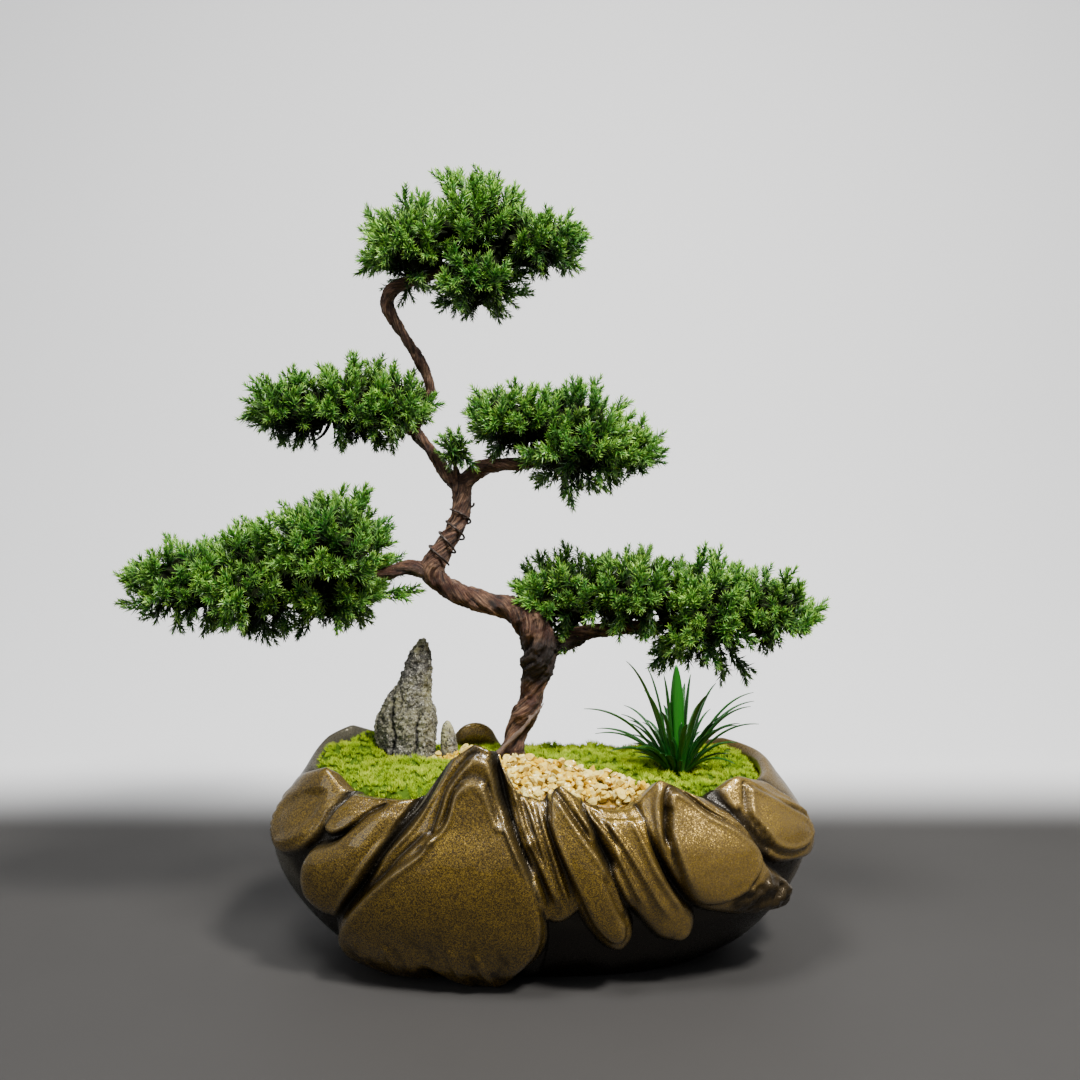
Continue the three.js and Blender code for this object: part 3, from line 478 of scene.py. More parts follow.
class FoliageSettings(PropertyGroup):
    """Sizes and colours of the foliage"""

    spacing: size("Shoot spacing", "Distance between the leading shoots of a pad", 16.5)
    needle: size("Needle length", "Length of a full-grown needle", 6.8)
    needle_width: size("Needle width", "Width of a needle at its foot", 1.7)
    shoot: size("Shoot length", "Length of a full-grown leading shoot", 26)
    clumping: amount("Clumping", "How far clumps of shoots stand out of a pad", 0.34)
    young: colour("Young needles", "Fresh tips of the shoots", 0.54, 0.92, 0.11)
    mature: colour("Grown needles", "Full-grown needles", 0.016, 0.15, 0.008)
    shaded: colour("Shaded needles", "Needles deep inside a pad", 0.003, 0.014, 0.003)
    # Pale bands on the needles: stomatal bands, and painted highlights
    silver_and_highlight: colour("Silver bands", "Pale bands on the needles", 0.5, 0.8, 0.32)
    # Near-black green, not brown: painted shade for the twigs and the cores deep in the pads
    twig: colour("Twigs", "Thin twigs inside the pads", 0.008, 0.011, 0.004)


class StoneSettings(PropertyGroup):
    """Sizes and colours of the stones"""

    skin: size("Mesh size", "Mesh size of the stones", 1.0)
    pale: colour("Pale grains", "Cream and white grains", 0.44, 0.42, 0.33)
    grey: colour("Grey stone", "Body of the stone", 0.115, 0.107, 0.092)
    # Olive film, strongest on the upper part: partly lichen, partly painted highlight from the light above
    olive: colour("Olive lichen", "Olive film on the upper part", 0.36, 0.34, 0.16)
    # Dark grains and pits; also painted shade in the cracks and veins
    dark: colour("Dark grains", "Pits and dark grains", 0.02, 0.018, 0.016)


class GrassSettings(PropertyGroup):
    """Sizes and colours of the grass"""

    width: size("Blade width", "Width of a blade", 3.9)
    broad_width: size("Broad blade width", "Width of the broad blade in the middle", 9.5)
    short_blades: IntProperty(name="Short blades", description="Short blades at the foot", default=46)
    fresh: colour("Fresh blade", "The broad blade and the upper side of the others", 0.014, 0.16, 0.005)
    blade: colour("Blade", "Dark body of the blades", 0.002, 0.022, 0.005)
    foot: colour("Blade foot", "Pale foot of the blades", 0.05, 0.13, 0.02)


class MossSettings(PropertyGroup):
    """Sizes and colours of the moss"""

    skin: size("Mesh size", "Mesh size of the mat under the tufts", 3.2)
    tuft_spacing: size("Tuft spacing", "Distance between tufts", 3.8)
    spike: size("Spike length", "Length of a spike of a tuft", 4.6)
    lump: size("Lump height", "Height of the soft lumps of the mat", 3.4)
    fresh: colour("Fresh moss", "Bright tips of the tufts", 0.85, 0.9, 0.05)
    moss: colour("Moss", "Body of the tufts", 0.26, 0.42, 0.006)
    mat: colour("Mat", "Green mat under the tufts", 0.05, 0.1, 0.004)


class GravelSettings(PropertyGroup):
    """Sizes and colours of the gravel"""

    skin: size("Mesh size", "Mesh size of the bed", 3.0)
    chip: size("Chip radius", "Radius of an average chip", 2.9)
    layers: IntProperty(name="Layers", description="Layers of chips on the bed", default=2)
    white: colour("White chips", "Milky quartz", 0.84, 0.72, 0.24)
    amber: colour("Amber chips", "Yellow and amber quartz", 0.8, 0.5, 0.001)
    rust: colour("Rust", "Rusty seams and dust between the chips", 0.3, 0.17, 0.02)


class GroundSettings(PropertyGroup):
    """Colours of what lies under the planting"""

    soil: colour("Soil", "Damp potting soil", 0.045, 0.028, 0.017)
    crumb: colour("Crumb", "Paler crumbs in the soil", 0.16, 0.11, 0.07)
    screen: colour("Screen", "Black plastic of the drain screens", 0.02, 0.02, 0.02)


class StageSettings(PropertyGroup):
    """Camera and light"""

    camera_distance: size("Camera distance", "Distance from the camera to the pot's middle", 760)
    camera_height: size("Camera height", "Height of the camera", 292)
    wall: colour("Backdrop", "Pale backdrop", 0.84, 0.84, 0.84)
    floor: colour("Floor", "Dark floor under the pot", 0.03, 0.028, 0.026)


class BonsaiSettings(PropertyGroup):
    """All the settings of the bonsai"""

    pot: PointerProperty(type=PotSettings)
    wood: PointerProperty(type=WoodSettings)
    wire: PointerProperty(type=WireSettings)
    foliage: PointerProperty(type=FoliageSettings)
    stone: PointerProperty(type=StoneSettings)
    grass: PointerProperty(type=GrassSettings)
    moss: PointerProperty(type=MossSettings)
    gravel: PointerProperty(type=GravelSettings)
    ground: PointerProperty(type=GroundSettings)
    stage: PointerProperty(type=StageSettings)


# Shader nodes


def add_node(tree, kind, sockets=None, **settings):
    """Adds a node, sets its options, and fills its sockets with values or with other nodes' outputs"""
    node = tree.nodes.new(kind)
    for option, value in settings.items():
        setattr(node, option, value)
    for socket, value in (sockets or {}).items():
        if isinstance(value, bpy.types.NodeSocket):
            tree.links.new(value, node.inputs[socket])
        else:
            node.inputs[socket].default_value = value
    return node


def calculate(tree, operation, first, second=0.0):
    """A sum, product or the like of two numbers, kept from 0 to 1"""
    sockets = {0: first, 1: second}
    return add_node(tree, "ShaderNodeMath", sockets, operation=operation, use_clamp=True).outputs[0]


def scale_and_add(tree, value, factor, offset):
    """A number times a factor plus an offset, kept from 0 to 1"""
    sockets = {0: value, 1: factor, 2: offset}
    return add_node(tree, "ShaderNodeMath", sockets, operation="MULTIPLY_ADD", use_clamp=True).outputs[0]


def calculate_vector(tree, operation, sockets):
    """A sum, difference or the like of vectors"""
    return add_node(tree, "ShaderNodeVectorMath", sockets, operation=operation).outputs[0]


def spread(tree, value, low, high):
    """A number from 0 at low to 1 at high"""
    sockets = {"Value": value, "From Min": low, "From Max": high}
    return add_node(tree, "ShaderNodeMapRange", sockets, interpolation_type="SMOOTHSTEP").outputs[0]


def lit(colour, factor):
    """A colour made as many times as bright"""
    return tuple(factor * part for part in colour[:3]) + (1.0,)


def blend(tree, share, first, second):
    """A colour between two others"""
    factor, first_colour, second_colour, mixed_colour = 0, 6, 7, 2
    sockets = {factor: share, first_colour: first, second_colour: second}
    return add_node(tree, "ShaderNodeMix", sockets, data_type="RGBA").outputs[mixed_colour]


def lay(tree, shade, colour, mask, strength):
    """A shade with a colour laid over it where a mask says, as strongly as given"""
    return blend(tree, calculate(tree, "MULTIPLY", mask, strength), shade, colour)


def attribute(tree, name, output="Fac"):
    """A named attribute of the piece's own mesh"""
    return add_node(tree, "ShaderNodeAttribute", attribute_name=name).outputs[output]


def start_group(name, inputs, outputs):
    """A node group with named sockets: the group, what comes into it, and what leaves it"""
    group = bpy.data.node_groups.new(name, "ShaderNodeTree")
    for label, kind, default in inputs:
        socket = group.interface.new_socket(label, in_out="INPUT", socket_type=kind)
        if default is not None:
            socket.default_value = default
    for label, kind in outputs:
        group.interface.new_socket(label, in_out="OUTPUT", socket_type=kind)
    entry = group.nodes.new("NodeGroupInput").outputs
    return group, entry, group.nodes.new("NodeGroupOutput").inputs


def make_mottle():
    """Soft patches of two sizes"""
    group, entry, leave = start_group(
        "mottle",
        [
            ("Vector", "NodeSocketVector", None),
            ("Scale", "NodeSocketFloat", 40.0),
            ("Low", "NodeSocketFloat", 0.35),
            ("High", "NodeSocketFloat", 0.65),
        ],
        [("Mask", "NodeSocketFloat"), ("Height", "NodeSocketFloat")],
    )
    sockets = {"Vector": entry["Vector"], "Scale": entry["Scale"], "Detail": 6.0, "Roughness": 0.6}
    patches = add_node(group, "ShaderNodeTexNoise", sockets).outputs[0]
    group.links.new(spread(group, patches, entry["Low"], entry["High"]), leave["Mask"])
    group.links.new(patches, leave["Height"])


def make_flecks():
    """Small grains, each with a tint and a tilt of its own"""
    group, entry, leave = start_group(
        "flecks",
        [
            ("Vector", "NodeSocketVector", None),
            ("Scale", "NodeSocketFloat", 900.0),
            ("Share", "NodeSocketFloat", 0.5),
            ("Tilt", "NodeSocketFloat", 0.3),
        ],
        [("Mask", "NodeSocketFloat"), ("Tint", "NodeSocketFloat"), ("Normal", "NodeSocketVector")],
    )
    sockets = {"Vector": entry["Vector"], "Scale": entry["Scale"]}
    cells = add_node(group, "ShaderNodeTexVoronoi", sockets)
    parts = add_node(group, "ShaderNodeSeparateColor", {0: cells.outputs["Color"]}).outputs
    edge = calculate(group, "ADD", entry["Share"], 0.12)
    group.links.new(calculate(group, "SUBTRACT", 1.0, spread(group, parts[0], entry["Share"], edge)),
                    leave["Mask"])
    group.links.new(parts[1], leave["Tint"])
    centred = calculate_vector(group, "SUBTRACT", {0: cells.outputs["Color"], 1: (0.5, 0.5, 0.5)})
    tilted = calculate_vector(group, "SCALE", {0: centred, "Scale": entry["Tilt"]})
    normal = add_node(group, "ShaderNodeNewGeometry").outputs["Normal"]
    total = calculate_vector(group, "ADD", {0: normal, 1: tilted})
    group.links.new(calculate_vector(group, "NORMALIZE", {0: total}), leave["Normal"])


def make_fibres():
    """Fine lines that follow the grain, which runs along the third coordinate"""
    group, entry, leave = start_group(
        "fibres",
        [
            ("Grain", "NodeSocketVector", None),
            ("Across", "NodeSocketFloat", 1.0),
            ("Along", "NodeSocketFloat", 0.1),
        ],
        [("Mask", "NodeSocketFloat"), ("Height", "NodeSocketFloat")],
    )
    stretch = add_node(
        group, "ShaderNodeCombineXYZ", {0: entry["Across"], 1: entry["Across"], 2: entry["Along"]}
    ).outputs[0]
    drawn = calculate_vector(group, "MULTIPLY", {0: entry["Grain"], 1: stretch})
    sockets = {"Vector": drawn, "Scale": 1.0, "Detail": 8.0, "Roughness": 0.68}
    lines = add_node(group, "ShaderNodeTexNoise", sockets).outputs[0]
    group.links.new(spread(group, lines, 0.38, 0.62), leave["Mask"])
    group.links.new(lines, leave["Height"])


def use_group(tree, name, sockets):
    """Places a shared node group in a material and returns its outputs"""
    return add_node(tree, "ShaderNodeGroup", sockets, node_tree=bpy.data.node_groups[name]).outputs


def object_place(tree):
    return add_node(tree, "ShaderNodeTexCoord").outputs["Object"]


def add_mottle(tree, scale, low, high):
    """Soft patches all over a piece"""
    sockets = {"Vector": object_place(tree), "Scale": scale, "Low": low, "High": high}
    return use_group(tree, "mottle", sockets)


def add_flecks(tree, scale, share, tilt):
    """Small grains all over a piece"""
    sockets = {"Vector": object_place(tree), "Scale": scale, "Share": share, "Tilt": tilt}
    return use_group(tree, "flecks", sockets)


def add_fibres(tree, across, along):
    """Fine lines along a piece's own grain"""
    sockets = {"Grain": attribute(tree, "grain", "Vector"), "Across": across, "Along": along}
    return use_group(tree, "fibres", sockets)


def bump(tree, height, distance, normal=None):
    """A normal that follows a height map"""
    sockets = {"Height": height, "Distance": distance, "Strength": 1.0}
    if normal is not None:
        sockets["Normal"] = normal
    return add_node(tree, "ShaderNodeBump", sockets).outputs[0]


def start_material(name, **shader):
    """A material whose shader has plain values of some sockets, and its node tree"""
    material = bpy.data.materials.new(name)
    material.use_nodes = True
    tree = material.node_tree
    for socket, value in shader.items():
        tree.nodes["Principled BSDF"].inputs[socket.replace("_", " ")].default_value = value
    return material, tree


def finish_material(material, **sources):
    """Feeds other sockets of a material's shader"""
    tree = material.node_tree
    for socket, source in sources.items():
        tree.links.new(source, tree.nodes["Principled BSDF"].inputs[socket.replace("_", " ")])
    return material


def make_glaze(pot):
    """Bronze glaze with gold flecks; pale on the ridges as wear and painted highlight, lighter on the right
    as painted light, dark in the grooves and on steep sides as pooled glaze and painted shade, and dark below
    the rocks as painted shade
    """
    material, tree = start_material("bronze_glaze", Coat_Roughness=0.05)
    fine = add_flecks(tree, scale=2300.0, share=0.32, tilt=0.4)
    coarse = add_flecks(tree, scale=1500.0, share=0.14, tilt=0.3)
    drift = add_mottle(tree, scale=22.0, low=0.3, high=0.75)
    # Painted light: the glaze turns lighter on the right, where the light falls
    body = blend(tree, attribute(tree, "warm_and_lit"), pot.rock, pot.warm_and_lit)
    body = blend(tree, attribute(tree, "rock"), pot.shell, body)
    fleck = calculate(tree, "MAXIMUM", fine["Mask"], coarse["Mask"])
    fleck = calculate(tree, "MULTIPLY", fleck, attribute(tree, "gilding"))
    thinned = scale_and_add(tree, drift["Mask"], factor=0.4, offset=0.35)
    fleck = calculate(tree, "MULTIPLY", fleck, thinned)
    shade = blend(tree, fleck, body, pot.gold)
    # Painted highlight, partly wear: pale gold along the ridges
    shade = blend(tree, attribute(tree, "ridge"), shade, pot.worn_and_highlight)
    # Painted shade, partly pooled glaze: the glaze goes near-black in the grooves, on steep sides, below the
    # rocks and on the knob
    dark_glaze_and_shade = attribute(tree, "dark_glaze_and_shade")
    shade = blend(tree, dark_glaze_and_shade, shade, pot.deep)
    coat = scale_and_add(tree, attribute(tree, "rock"), factor=0.45, offset=0.2)
    coat = calculate(tree, "SUBTRACT", coat, calculate(tree, "MULTIPLY", dark_glaze_and_shade, 0.45))
    rough = scale_and_add(tree, fine["Tint"], factor=0.2, offset=0.24)
    metal = scale_and_add(tree, fleck, factor=0.5, offset=0.45)
    tilted = bump(tree, drift["Height"], 0.0008, fine["Normal"])
    return finish_material(
        material, Base_Color=shade, Roughness=rough, Metallic=metal, Coat_Weight=coat, Normal=tilted
    )


def make_bark(wood):
    """Twisted fibrous bark, red-brown on the strands and black between them, partly dark fibres and partly
    painted shade, and near-black as painted shade below the lowest branch
    """
    material, tree = start_material("juniper_bark", Specular_IOR_Level=0.3)
    coarse = add_fibres(tree, across=0.55, along=0.05)
    fine = add_fibres(tree, across=1.9, along=0.11)
    patches = add_mottle(tree, scale=75.0, low=0.36, high=0.64)
    peeled = calculate(tree, "MULTIPLY", coarse["Mask"], patches["Mask"])
    shade = blend(tree, peeled, wood.bark, wood.light)
    dark = calculate(tree, "SUBTRACT", 1.0, fine["Mask"])
    shade = lay(tree, shade, wood.deep_bark_and_shade, dark, 0.8)
    # Painted shade: the band below the lowest branch, and the foot, go near-black
    shade = lay(tree, shade, wood.black_bark_and_shade, attribute(tree, "black_bark_and_shade"), 0.9)
    streaked = calculate(tree, "MULTIPLY", attribute(tree, "weather"), coarse["Height"])
    shade = lay(tree, shade, wood.grey, streaked, 1.6)
    # Painted shade: the hollows between the strands, and the foot, go near-black
    shade = blend(tree, attribute(tree, "deep_bark_and_shade"), shade, wood.deep_bark_and_shade)
    rough = scale_and_add(tree, fine["Height"], factor=0.4, offset=0.32)
    tilted = bump(tree, fine["Height"], 0.0016)
    return finish_material(material, Base_Color=shade, Roughness=rough, Normal=tilted)


def make_wire_finish(wire):
    """Anodised wire, scuffed here and there"""
    material, tree = start_material("anodised_wire", Metallic=0.7)
    scuffs = add_mottle(tree, scale=320.0, low=0.5, high=0.62)
    shade = blend(tree, scuffs["Mask"], wire.metal, wire.scuffed)
    rough = spread(tree, scuffs["Height"], -0.4, 1.2)
    tilted = bump(tree, scuffs["Height"], 0.0002)
    return finish_material(material, Base_Color=shade, Roughness=rough, Normal=tilted)


def make_needle_finish(foliage):
    """Needles that are pale at their tips, banded pale in part as painted highlight, and darker at their feet
    and deep inside and beneath a pad, as painted shade with some darker old growth
    """
    material, tree = start_material("juniper_needles", Roughness=0.32)
    tip = attribute(tree, "tip")
    tone = attribute(tree, "tone")
    inner = attribute(tree, "inner")
    patches = add_mottle(tree, scale=30.0, low=0.35, high=0.65)
    bands = add_flecks(tree, scale=420.0, share=0.3, tilt=0.2)
    # Painted shade, with some darker old growth: needles darken towards their feet, and the stems are dark
    base = blend(tree, spread(tree, tip, 0.0, 0.4), foliage.shaded, foliage.mature)
    brightness = scale_and_add(tree, tone, factor=0.8, offset=0.25)
    fresh = calculate(tree, "MULTIPLY", spread(tree, tip, 0.35, 0.95), brightness)
    shade = blend(tree, fresh, base, foliage.young)
    yellowed = calculate(tree, "MULTIPLY", patches["Mask"], tip)
    shade = lay(tree, shade, foliage.young, yellowed, 0.25)
    # Painted highlight, partly stomatal bands: pale bands towards the tips
    silver_and_highlight = calculate(tree, "MULTIPLY", bands["Mask"], tip)
    shade = lay(tree, shade, foliage.silver_and_highlight, silver_and_highlight, 0.35)
    # Painted shade: needles deep in a pad and on its underside go near-black
    shade = blend(tree, inner, shade, foliage.shaded)
    return finish_material(material, Base_Color=shade)


def make_twig_finish(foliage):
    """Rough thin twigs, near-black green as painted shade, which also colour the dark cores of the lobes"""
    material, tree = start_material("twigs", Roughness=1.0, Specular_IOR_Level=0.1)
    grains = add_mottle(tree, scale=420.0, low=0.4, high=0.7)
    shade = blend(tree, grains["Mask"], foliage.twig, lit(foliage.twig, 2.4))
    return finish_material(material, Base_Color=shade, Normal=bump(tree, grains["Height"], 0.0004))


def make_stone_finish(stone):
    """Granular stone with pale grains, dark pits, an olive film on the upper part that is partly painted
    highlight, and painted shade in the cracks
    """
    material, tree = start_material("speckled_stone", Roughness=0.85)
    grains = add_flecks(tree, scale=1000.0, share=0.3, tilt=0.5)
    pits = add_flecks(tree, scale=800.0, share=0.12, tilt=0.3)
    film = add_mottle(tree, scale=34.0, low=0.4, high=0.6)
    fine = add_mottle(tree, scale=300.0, low=0.35, high=0.65)
    shade = blend(tree, fine["Mask"], stone.grey, lit(stone.grey, 0.5))
    # Painted highlight, partly lichen: the olive film grows towards the top
    shade = lay(tree, shade, stone.olive, film["Mask"], attribute(tree, "upper"))
    shade = lay(tree, shade, stone.pale, grains["Mask"], grains["Tint"])
    shade = lay(tree, shade, stone.dark, pits["Mask"], 0.8)
    # Painted shade: the cracks and veins go dark
    shade = blend(tree, attribute(tree, "crack_shade"), shade, stone.dark)
    tilted = bump(tree, fine["Height"], 0.0022, grains["Normal"])
    return finish_material(material, Base_Color=shade, Normal=tilted)


def make_blade_finish(grass):
    """Glossy dark blades with fine lines, paler at the foot"""
    material, tree = start_material("grass_blades", Roughness=0.3, Specular_IOR_Level=0.6)
    along = attribute(tree, "along")
    lines = add_fibres(tree, across=3.0, along=0.06)
    patches = add_mottle(tree, scale=70.0, low=0.35, high=0.7)
    patched = calculate(tree, "MULTIPLY", patches["Mask"], 0.4)
    fresh = calculate(tree, "MAXIMUM", attribute(tree, "fresh"), patched)
    shade = blend(tree, fresh, grass.blade, grass.fresh)
    foot = calculate(tree, "SUBTRACT", 1.0, spread(tree, along, 0.0, 0.16))
    shade = blend(tree, foot, shade, grass.foot)
    shade = lay(tree, shade, grass.fresh, lines["Mask"], 0.3)
    return finish_material(material, Base_Color=shade, Normal=bump(tree, lines["Height"], 0.0003))


def make_moss_finish(moss):
    """Bright tufts over a green mat"""
    material, tree = start_material("moss_tufts", Roughness=0.8, Specular_IOR_Level=0.1)
    tip = attribute(tree, "tip")
    tone = attribute(tree, "tone")
    patches = add_mottle(tree, scale=48.0, low=0.36, high=0.64)
    shade = blend(tree, spread(tree, tip, 0.05, 0.6), moss.mat, moss.moss)
    fresh = calculate(tree, "MULTIPLY", spread(tree, tip, 0.3, 1.0), calculate(tree, "ADD", tone, 0.1))
    fresh = calculate(tree, "MULTIPLY", fresh, calculate(tree, "ADD", patches["Mask"], 0.35))
    shade = blend(tree, fresh, shade, moss.fresh)
    return finish_material(material, Base_Color=shade)


def make_gravel_finish(gravel):
    """Milky and amber quartz with rusty seams"""
    material, tree = start_material("quartz_gravel", Specular_IOR_Level=0.6)
    seams = add_mottle(tree, scale=240.0, low=0.5, high=0.68)
    grains = add_flecks(tree, scale=900.0, share=0.3, tilt=0.35)
    shade = blend(tree, attribute(tree, "tone"), gravel.white, gravel.amber)
    shade = lay(tree, shade, gravel.rust, seams["Mask"], 0.22)
    shade = blend(tree, attribute(tree, "inner"), shade, gravel.rust)
    rough = spread(tree, grains["Tint"], -0.6, 3.0)
    return finish_material(material, Base_Color=shade, Roughness=rough, Normal=grains["Normal"])


def make_soil_finish(ground):
    """Damp crumbly soil"""
    material, tree = start_material("potting_soil", Roughness=0.95)
    crumbs = add_flecks(tree, scale=420.0, share=0.25, tilt=0.6)
    damp = add_mottle(tree, scale=60.0, low=0.3, high=0.7)
    shade = blend(tree, crumbs["Mask"], ground.soil, ground.crumb)
    shade = lay(tree, shade, ground.soil, damp["Mask"], 0.6)
    tilted = bump(tree, damp["Height"], 0.002, crumbs["Normal"])
    return finish_material(material, Base_Color=shade, Normal=tilted)


def make_screen_finish(ground):
    """Black plastic, dulled with silt"""
    material, tree = start_material("screen_plastic")
    silt = add_mottle(tree, scale=120.0, low=0.45, high=0.7)
    shade = blend(tree, silt["Mask"], ground.screen, ground.crumb)
    rough = spread(tree, silt["Height"], -0.6, 1.0)
    return finish_material(material, Base_Color=shade, Roughness=rough)


# Meshes


def spline(stations, counts):
    """Smooth line through the stations, with a number of steps in each stretch"""
    points = np.array(stations, float)
    points = np.vstack([2 * points[0] - points[1], points, 2 * points[-1] - points[-2]])
    stretches = []
    for i, count in enumerate(counts):
        a, b, c, d = points[i:i + 4]
        t = np.arange(count)[:, None] / count
        cubic = (3 * b - a - 3 * c + d) * t**3
        stretches.append(0.5 * (2 * b + (c - a) * t + (2 * a - 5 * b + 4 * c - d) * t**2 + cubic))
    return np.vstack(stretches + [points[-2:-1]])


def rounded(outline, steps=5):
    """Closed outline with its corners rounded off"""
    wrapped = outline[-2:] + outline + outline[:3]
    line = spline(wrapped, [steps] * (len(wrapped) - 1))
    return line[2 * steps:-3 * steps]


def smoothstep(value, low, high):
    """0 at low and below, 1 at high and above, smooth between them"""
    t = np.clip((value - low) / (high - low), 0, 1)
    return t * t * (3 - 2 * t)


def inside_distance(u, z, outline):
    """Distance from each place to an outline, positive inside it"""
    nearest = np.full(u.shape, np.inf)
    inside = np.zeros(u.shape, bool)
    for (au, az), (bu, bz) in zip(outline, np.roll(outline, -1, axis=0)):
        run, rise = bu - au, bz - az
        along = np.clip(((u - au) * run + (z - az) * rise) / (run**2 + rise**2 + 1e-9), 0, 1)
        nearest = np.minimum(nearest, np.hypot(u - au - along * run, z - az - along * rise))
        crosses = (az > z) != (bz > z)
        inside ^= crosses & (u < au + run * (z - az) / (rise if rise else 1))
    return np.where(inside, nearest, -nearest)


def line_distance(u, z, line):
    """Distance from each place to a line, and the share of the line's length at the nearest point"""
    steps = np.hypot(*np.diff(line, axis=0).T)
    starts = np.concatenate([[0], np.cumsum(steps)]) / steps.sum()
    nearest = np.full(u.shape, np.inf)
    share = np.zeros(u.shape)
    for i, step in enumerate(steps):
        (au, az), (bu, bz) = line[i], line[i + 1]
        along = np.clip(((u - au) * (bu - au) + (z - az) * (bz - az)) / step**2, 0, 1)
        distance = np.hypot(u - au - along * (bu - au), z - az - along * (bz - az))
        share = np.where(distance < nearest, starts[i] + along * (starts[i + 1] - starts[i]), share)
        nearest = np.minimum(nearest, distance)
    return nearest, share


def wavy(places, scale, seed=0.0):
    """Smooth random numbers from -1 to 1 over an array of places in millimetres"""
    flat = places.reshape(-1, 3) * scale + seed
    values = [noise.noise(Vector(place)) for place in flat]
    return np.array(values).reshape(places.shape[:-1])


def rough(places, scale, octaves=4, seed=0.0):
    """Fractal random numbers, about -1 to 1, over an array of places in millimetres"""
    flat = places.reshape(-1, 3) * scale + seed
    values = [noise.fractal(Vector(place), 0.9, 2.1, octaves) for place in flat]
    return np.array(values).reshape(places.shape[:-1])


def sweep(places):
    """Open tube through a table of places, with one row of the table for each ring"""
    rows, columns = places.shape[:2]
    tube = bmesh.new()
    line = [tube.verts.new((1, 0, row)) for row in range(rows)]
    edges = [tube.edges.new(pair) for pair in zip(line, line[1:])]
    bmesh.ops.spin(
        tube, geom=line + edges, cent=(0, 0, 0), axis=(0, 0, 1), angle=2 * math.pi, steps=columns,
        use_merge=True,
    )
    keys = []
    for vert in tube.verts:
        row = round(vert.co.z)
        column = round(math.atan2(vert.co.y, vert.co.x) * columns / (2 * math.pi)) % columns
        keys.append((row, column))
        vert.co = places[row, column] * MM
    return tube, np.array(keys)


def close(tube):
    """Closes the open ends of a tube and turns its faces outwards"""
    bmesh.ops.holes_fill(tube, edges=tube.edges, sides=0)
    bmesh.ops.recalc_face_normals(tube, faces=tube.faces)


def cast(shape, name):
    """Turns a bmesh into a mesh"""
    mesh = bpy.data.meshes.new(name)
    shape.to_mesh(mesh)
    shape.free()
    return mesh


def add_object(name, data):
    """Adds an object to the scene"""
    added = bpy.data.objects.new(name, data)
    bpy.context.scene.collection.objects.link(added)
    return added


def pour(part, whole):
    """Moves one bmesh into another"""
    mesh = cast(part, "part")
    whole.from_mesh(mesh)
    bpy.data.meshes.remove(mesh)


def make_skin(shape, voxel, smoothing):
    """One closed skin of even mesh size over all that is in a bmesh"""
    mesh = cast(shape, "shape")
    lump = add_object("shape", mesh)
    remesh = lump.modifiers.new("skin", "REMESH")
    remesh.mode = "VOXEL"
    remesh.voxel_size = voxel
    skin = bmesh.new()
    skin.from_object(lump, bpy.context.evaluated_depsgraph_get())
    bpy.data.objects.remove(lump)
    bpy.data.meshes.remove(mesh)
    for _ in range(smoothing):
        bmesh.ops.smooth_vert(
            skin, verts=skin.verts, factor=0.5, use_axis_x=True, use_axis_y=True, use_axis_z=True
        )
    skin.normal_update()
    return skin


def copy_solid(node):
    """A solid of the model as one joined mesh"""
    shape = bmesh.new()
    shape.from_mesh(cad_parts[node].data)
    bmesh.ops.remove_doubles(shape, verts=shape.verts, dist=0.01 * MM)
    return shape


def places_of(shape):
    """Places and normals of a bmesh's vertices, the places in millimetres"""
    places = np.array([vert.co[:] for vert in shape.verts]) / MM
    normals = np.array([vert.normal[:] for vert in shape.verts])
    return places, normals


def move_to(shape, places):
    """Moves a bmesh's vertices to places in millimetres"""
    for vert, place in zip(shape.verts, places):
        vert.co = place * MM


def finish_piece(shape, name, node, finishes, attributes=None, smooth=False):
    """Makes the piece that stands for a solid of the model"""
    mesh = cast(shape, name)
    for label, values in (attributes or {}).items():
        values = np.asarray(values, np.float32)
        kind, field = ("FLOAT_VECTOR", "vector") if values.ndim == 2 else ("FLOAT", "value")
        layer = mesh.attributes.new(label, kind, "POINT")
        layer.data.foreach_set(field, values.ravel())
    for finish in finishes:
        mesh.materials.append(finish)
    if smooth:
        mesh.shade_smooth()
    else:
        mesh.shade_flat()
    piece = add_object(name, mesh)
    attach(piece, "root")
    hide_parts(node)


def add_copy(whole, pattern, matrix, **values):
    """Adds a copy of a small mesh, placed by a matrix, with its own values of some attributes"""
    copy = pattern.copy()
    copy.transform(matrix)
    for label, value in values.items():
        layer = copy.attributes.get(label) or copy.attributes.new(label, "FLOAT", "POINT")
        layer.data.foreach_set("value", [value] * len(copy.vertices))
    whole.from_mesh(copy)
    bpy.data.meshes.remove(copy)


def aim(direction, roll):
    """Rotation that turns the Z axis to a direction"""
    return direction.to_track_quat("Z", "Y").to_matrix().to_4x4() @ Matrix.Rotation(roll, 4, "Z")


def jitter(draw, reach=1):
    """Random shift, up to a reach along each axis"""
    return Vector([draw.uniform(-reach, reach) for _ in range(3)])


# Pot


def plan_line():
    """The pot's plan at its widest at even steps: girth, place and tangent"""
    angle = np.linspace(-np.pi, np.pi, 4001)
    x = POT_HALF_LENGTH * np.sign(np.sin(angle)) * np.abs(np.sin(angle)) ** POT_PLAN_POWER
    y = -POT_HALF_DEPTH * np.sign(np.cos(angle)) * np.abs(np.cos(angle)) ** POT_PLAN_POWER
    arc = np.concatenate([[0], np.cumsum(np.hypot(np.diff(x), np.diff(y)))])
    girth = np.linspace(0, arc[-1], 1401)
    x, y = np.interp(girth, arc, x), np.interp(girth, arc, y)
    tangent = np.stack([np.gradient(x, girth), np.gradient(y, girth)], axis=1)
    tangent /= np.linalg.norm(tangent, axis=1)[:, None]
    return girth - arc[-1] / 2, np.stack([x, y], axis=1), tangent


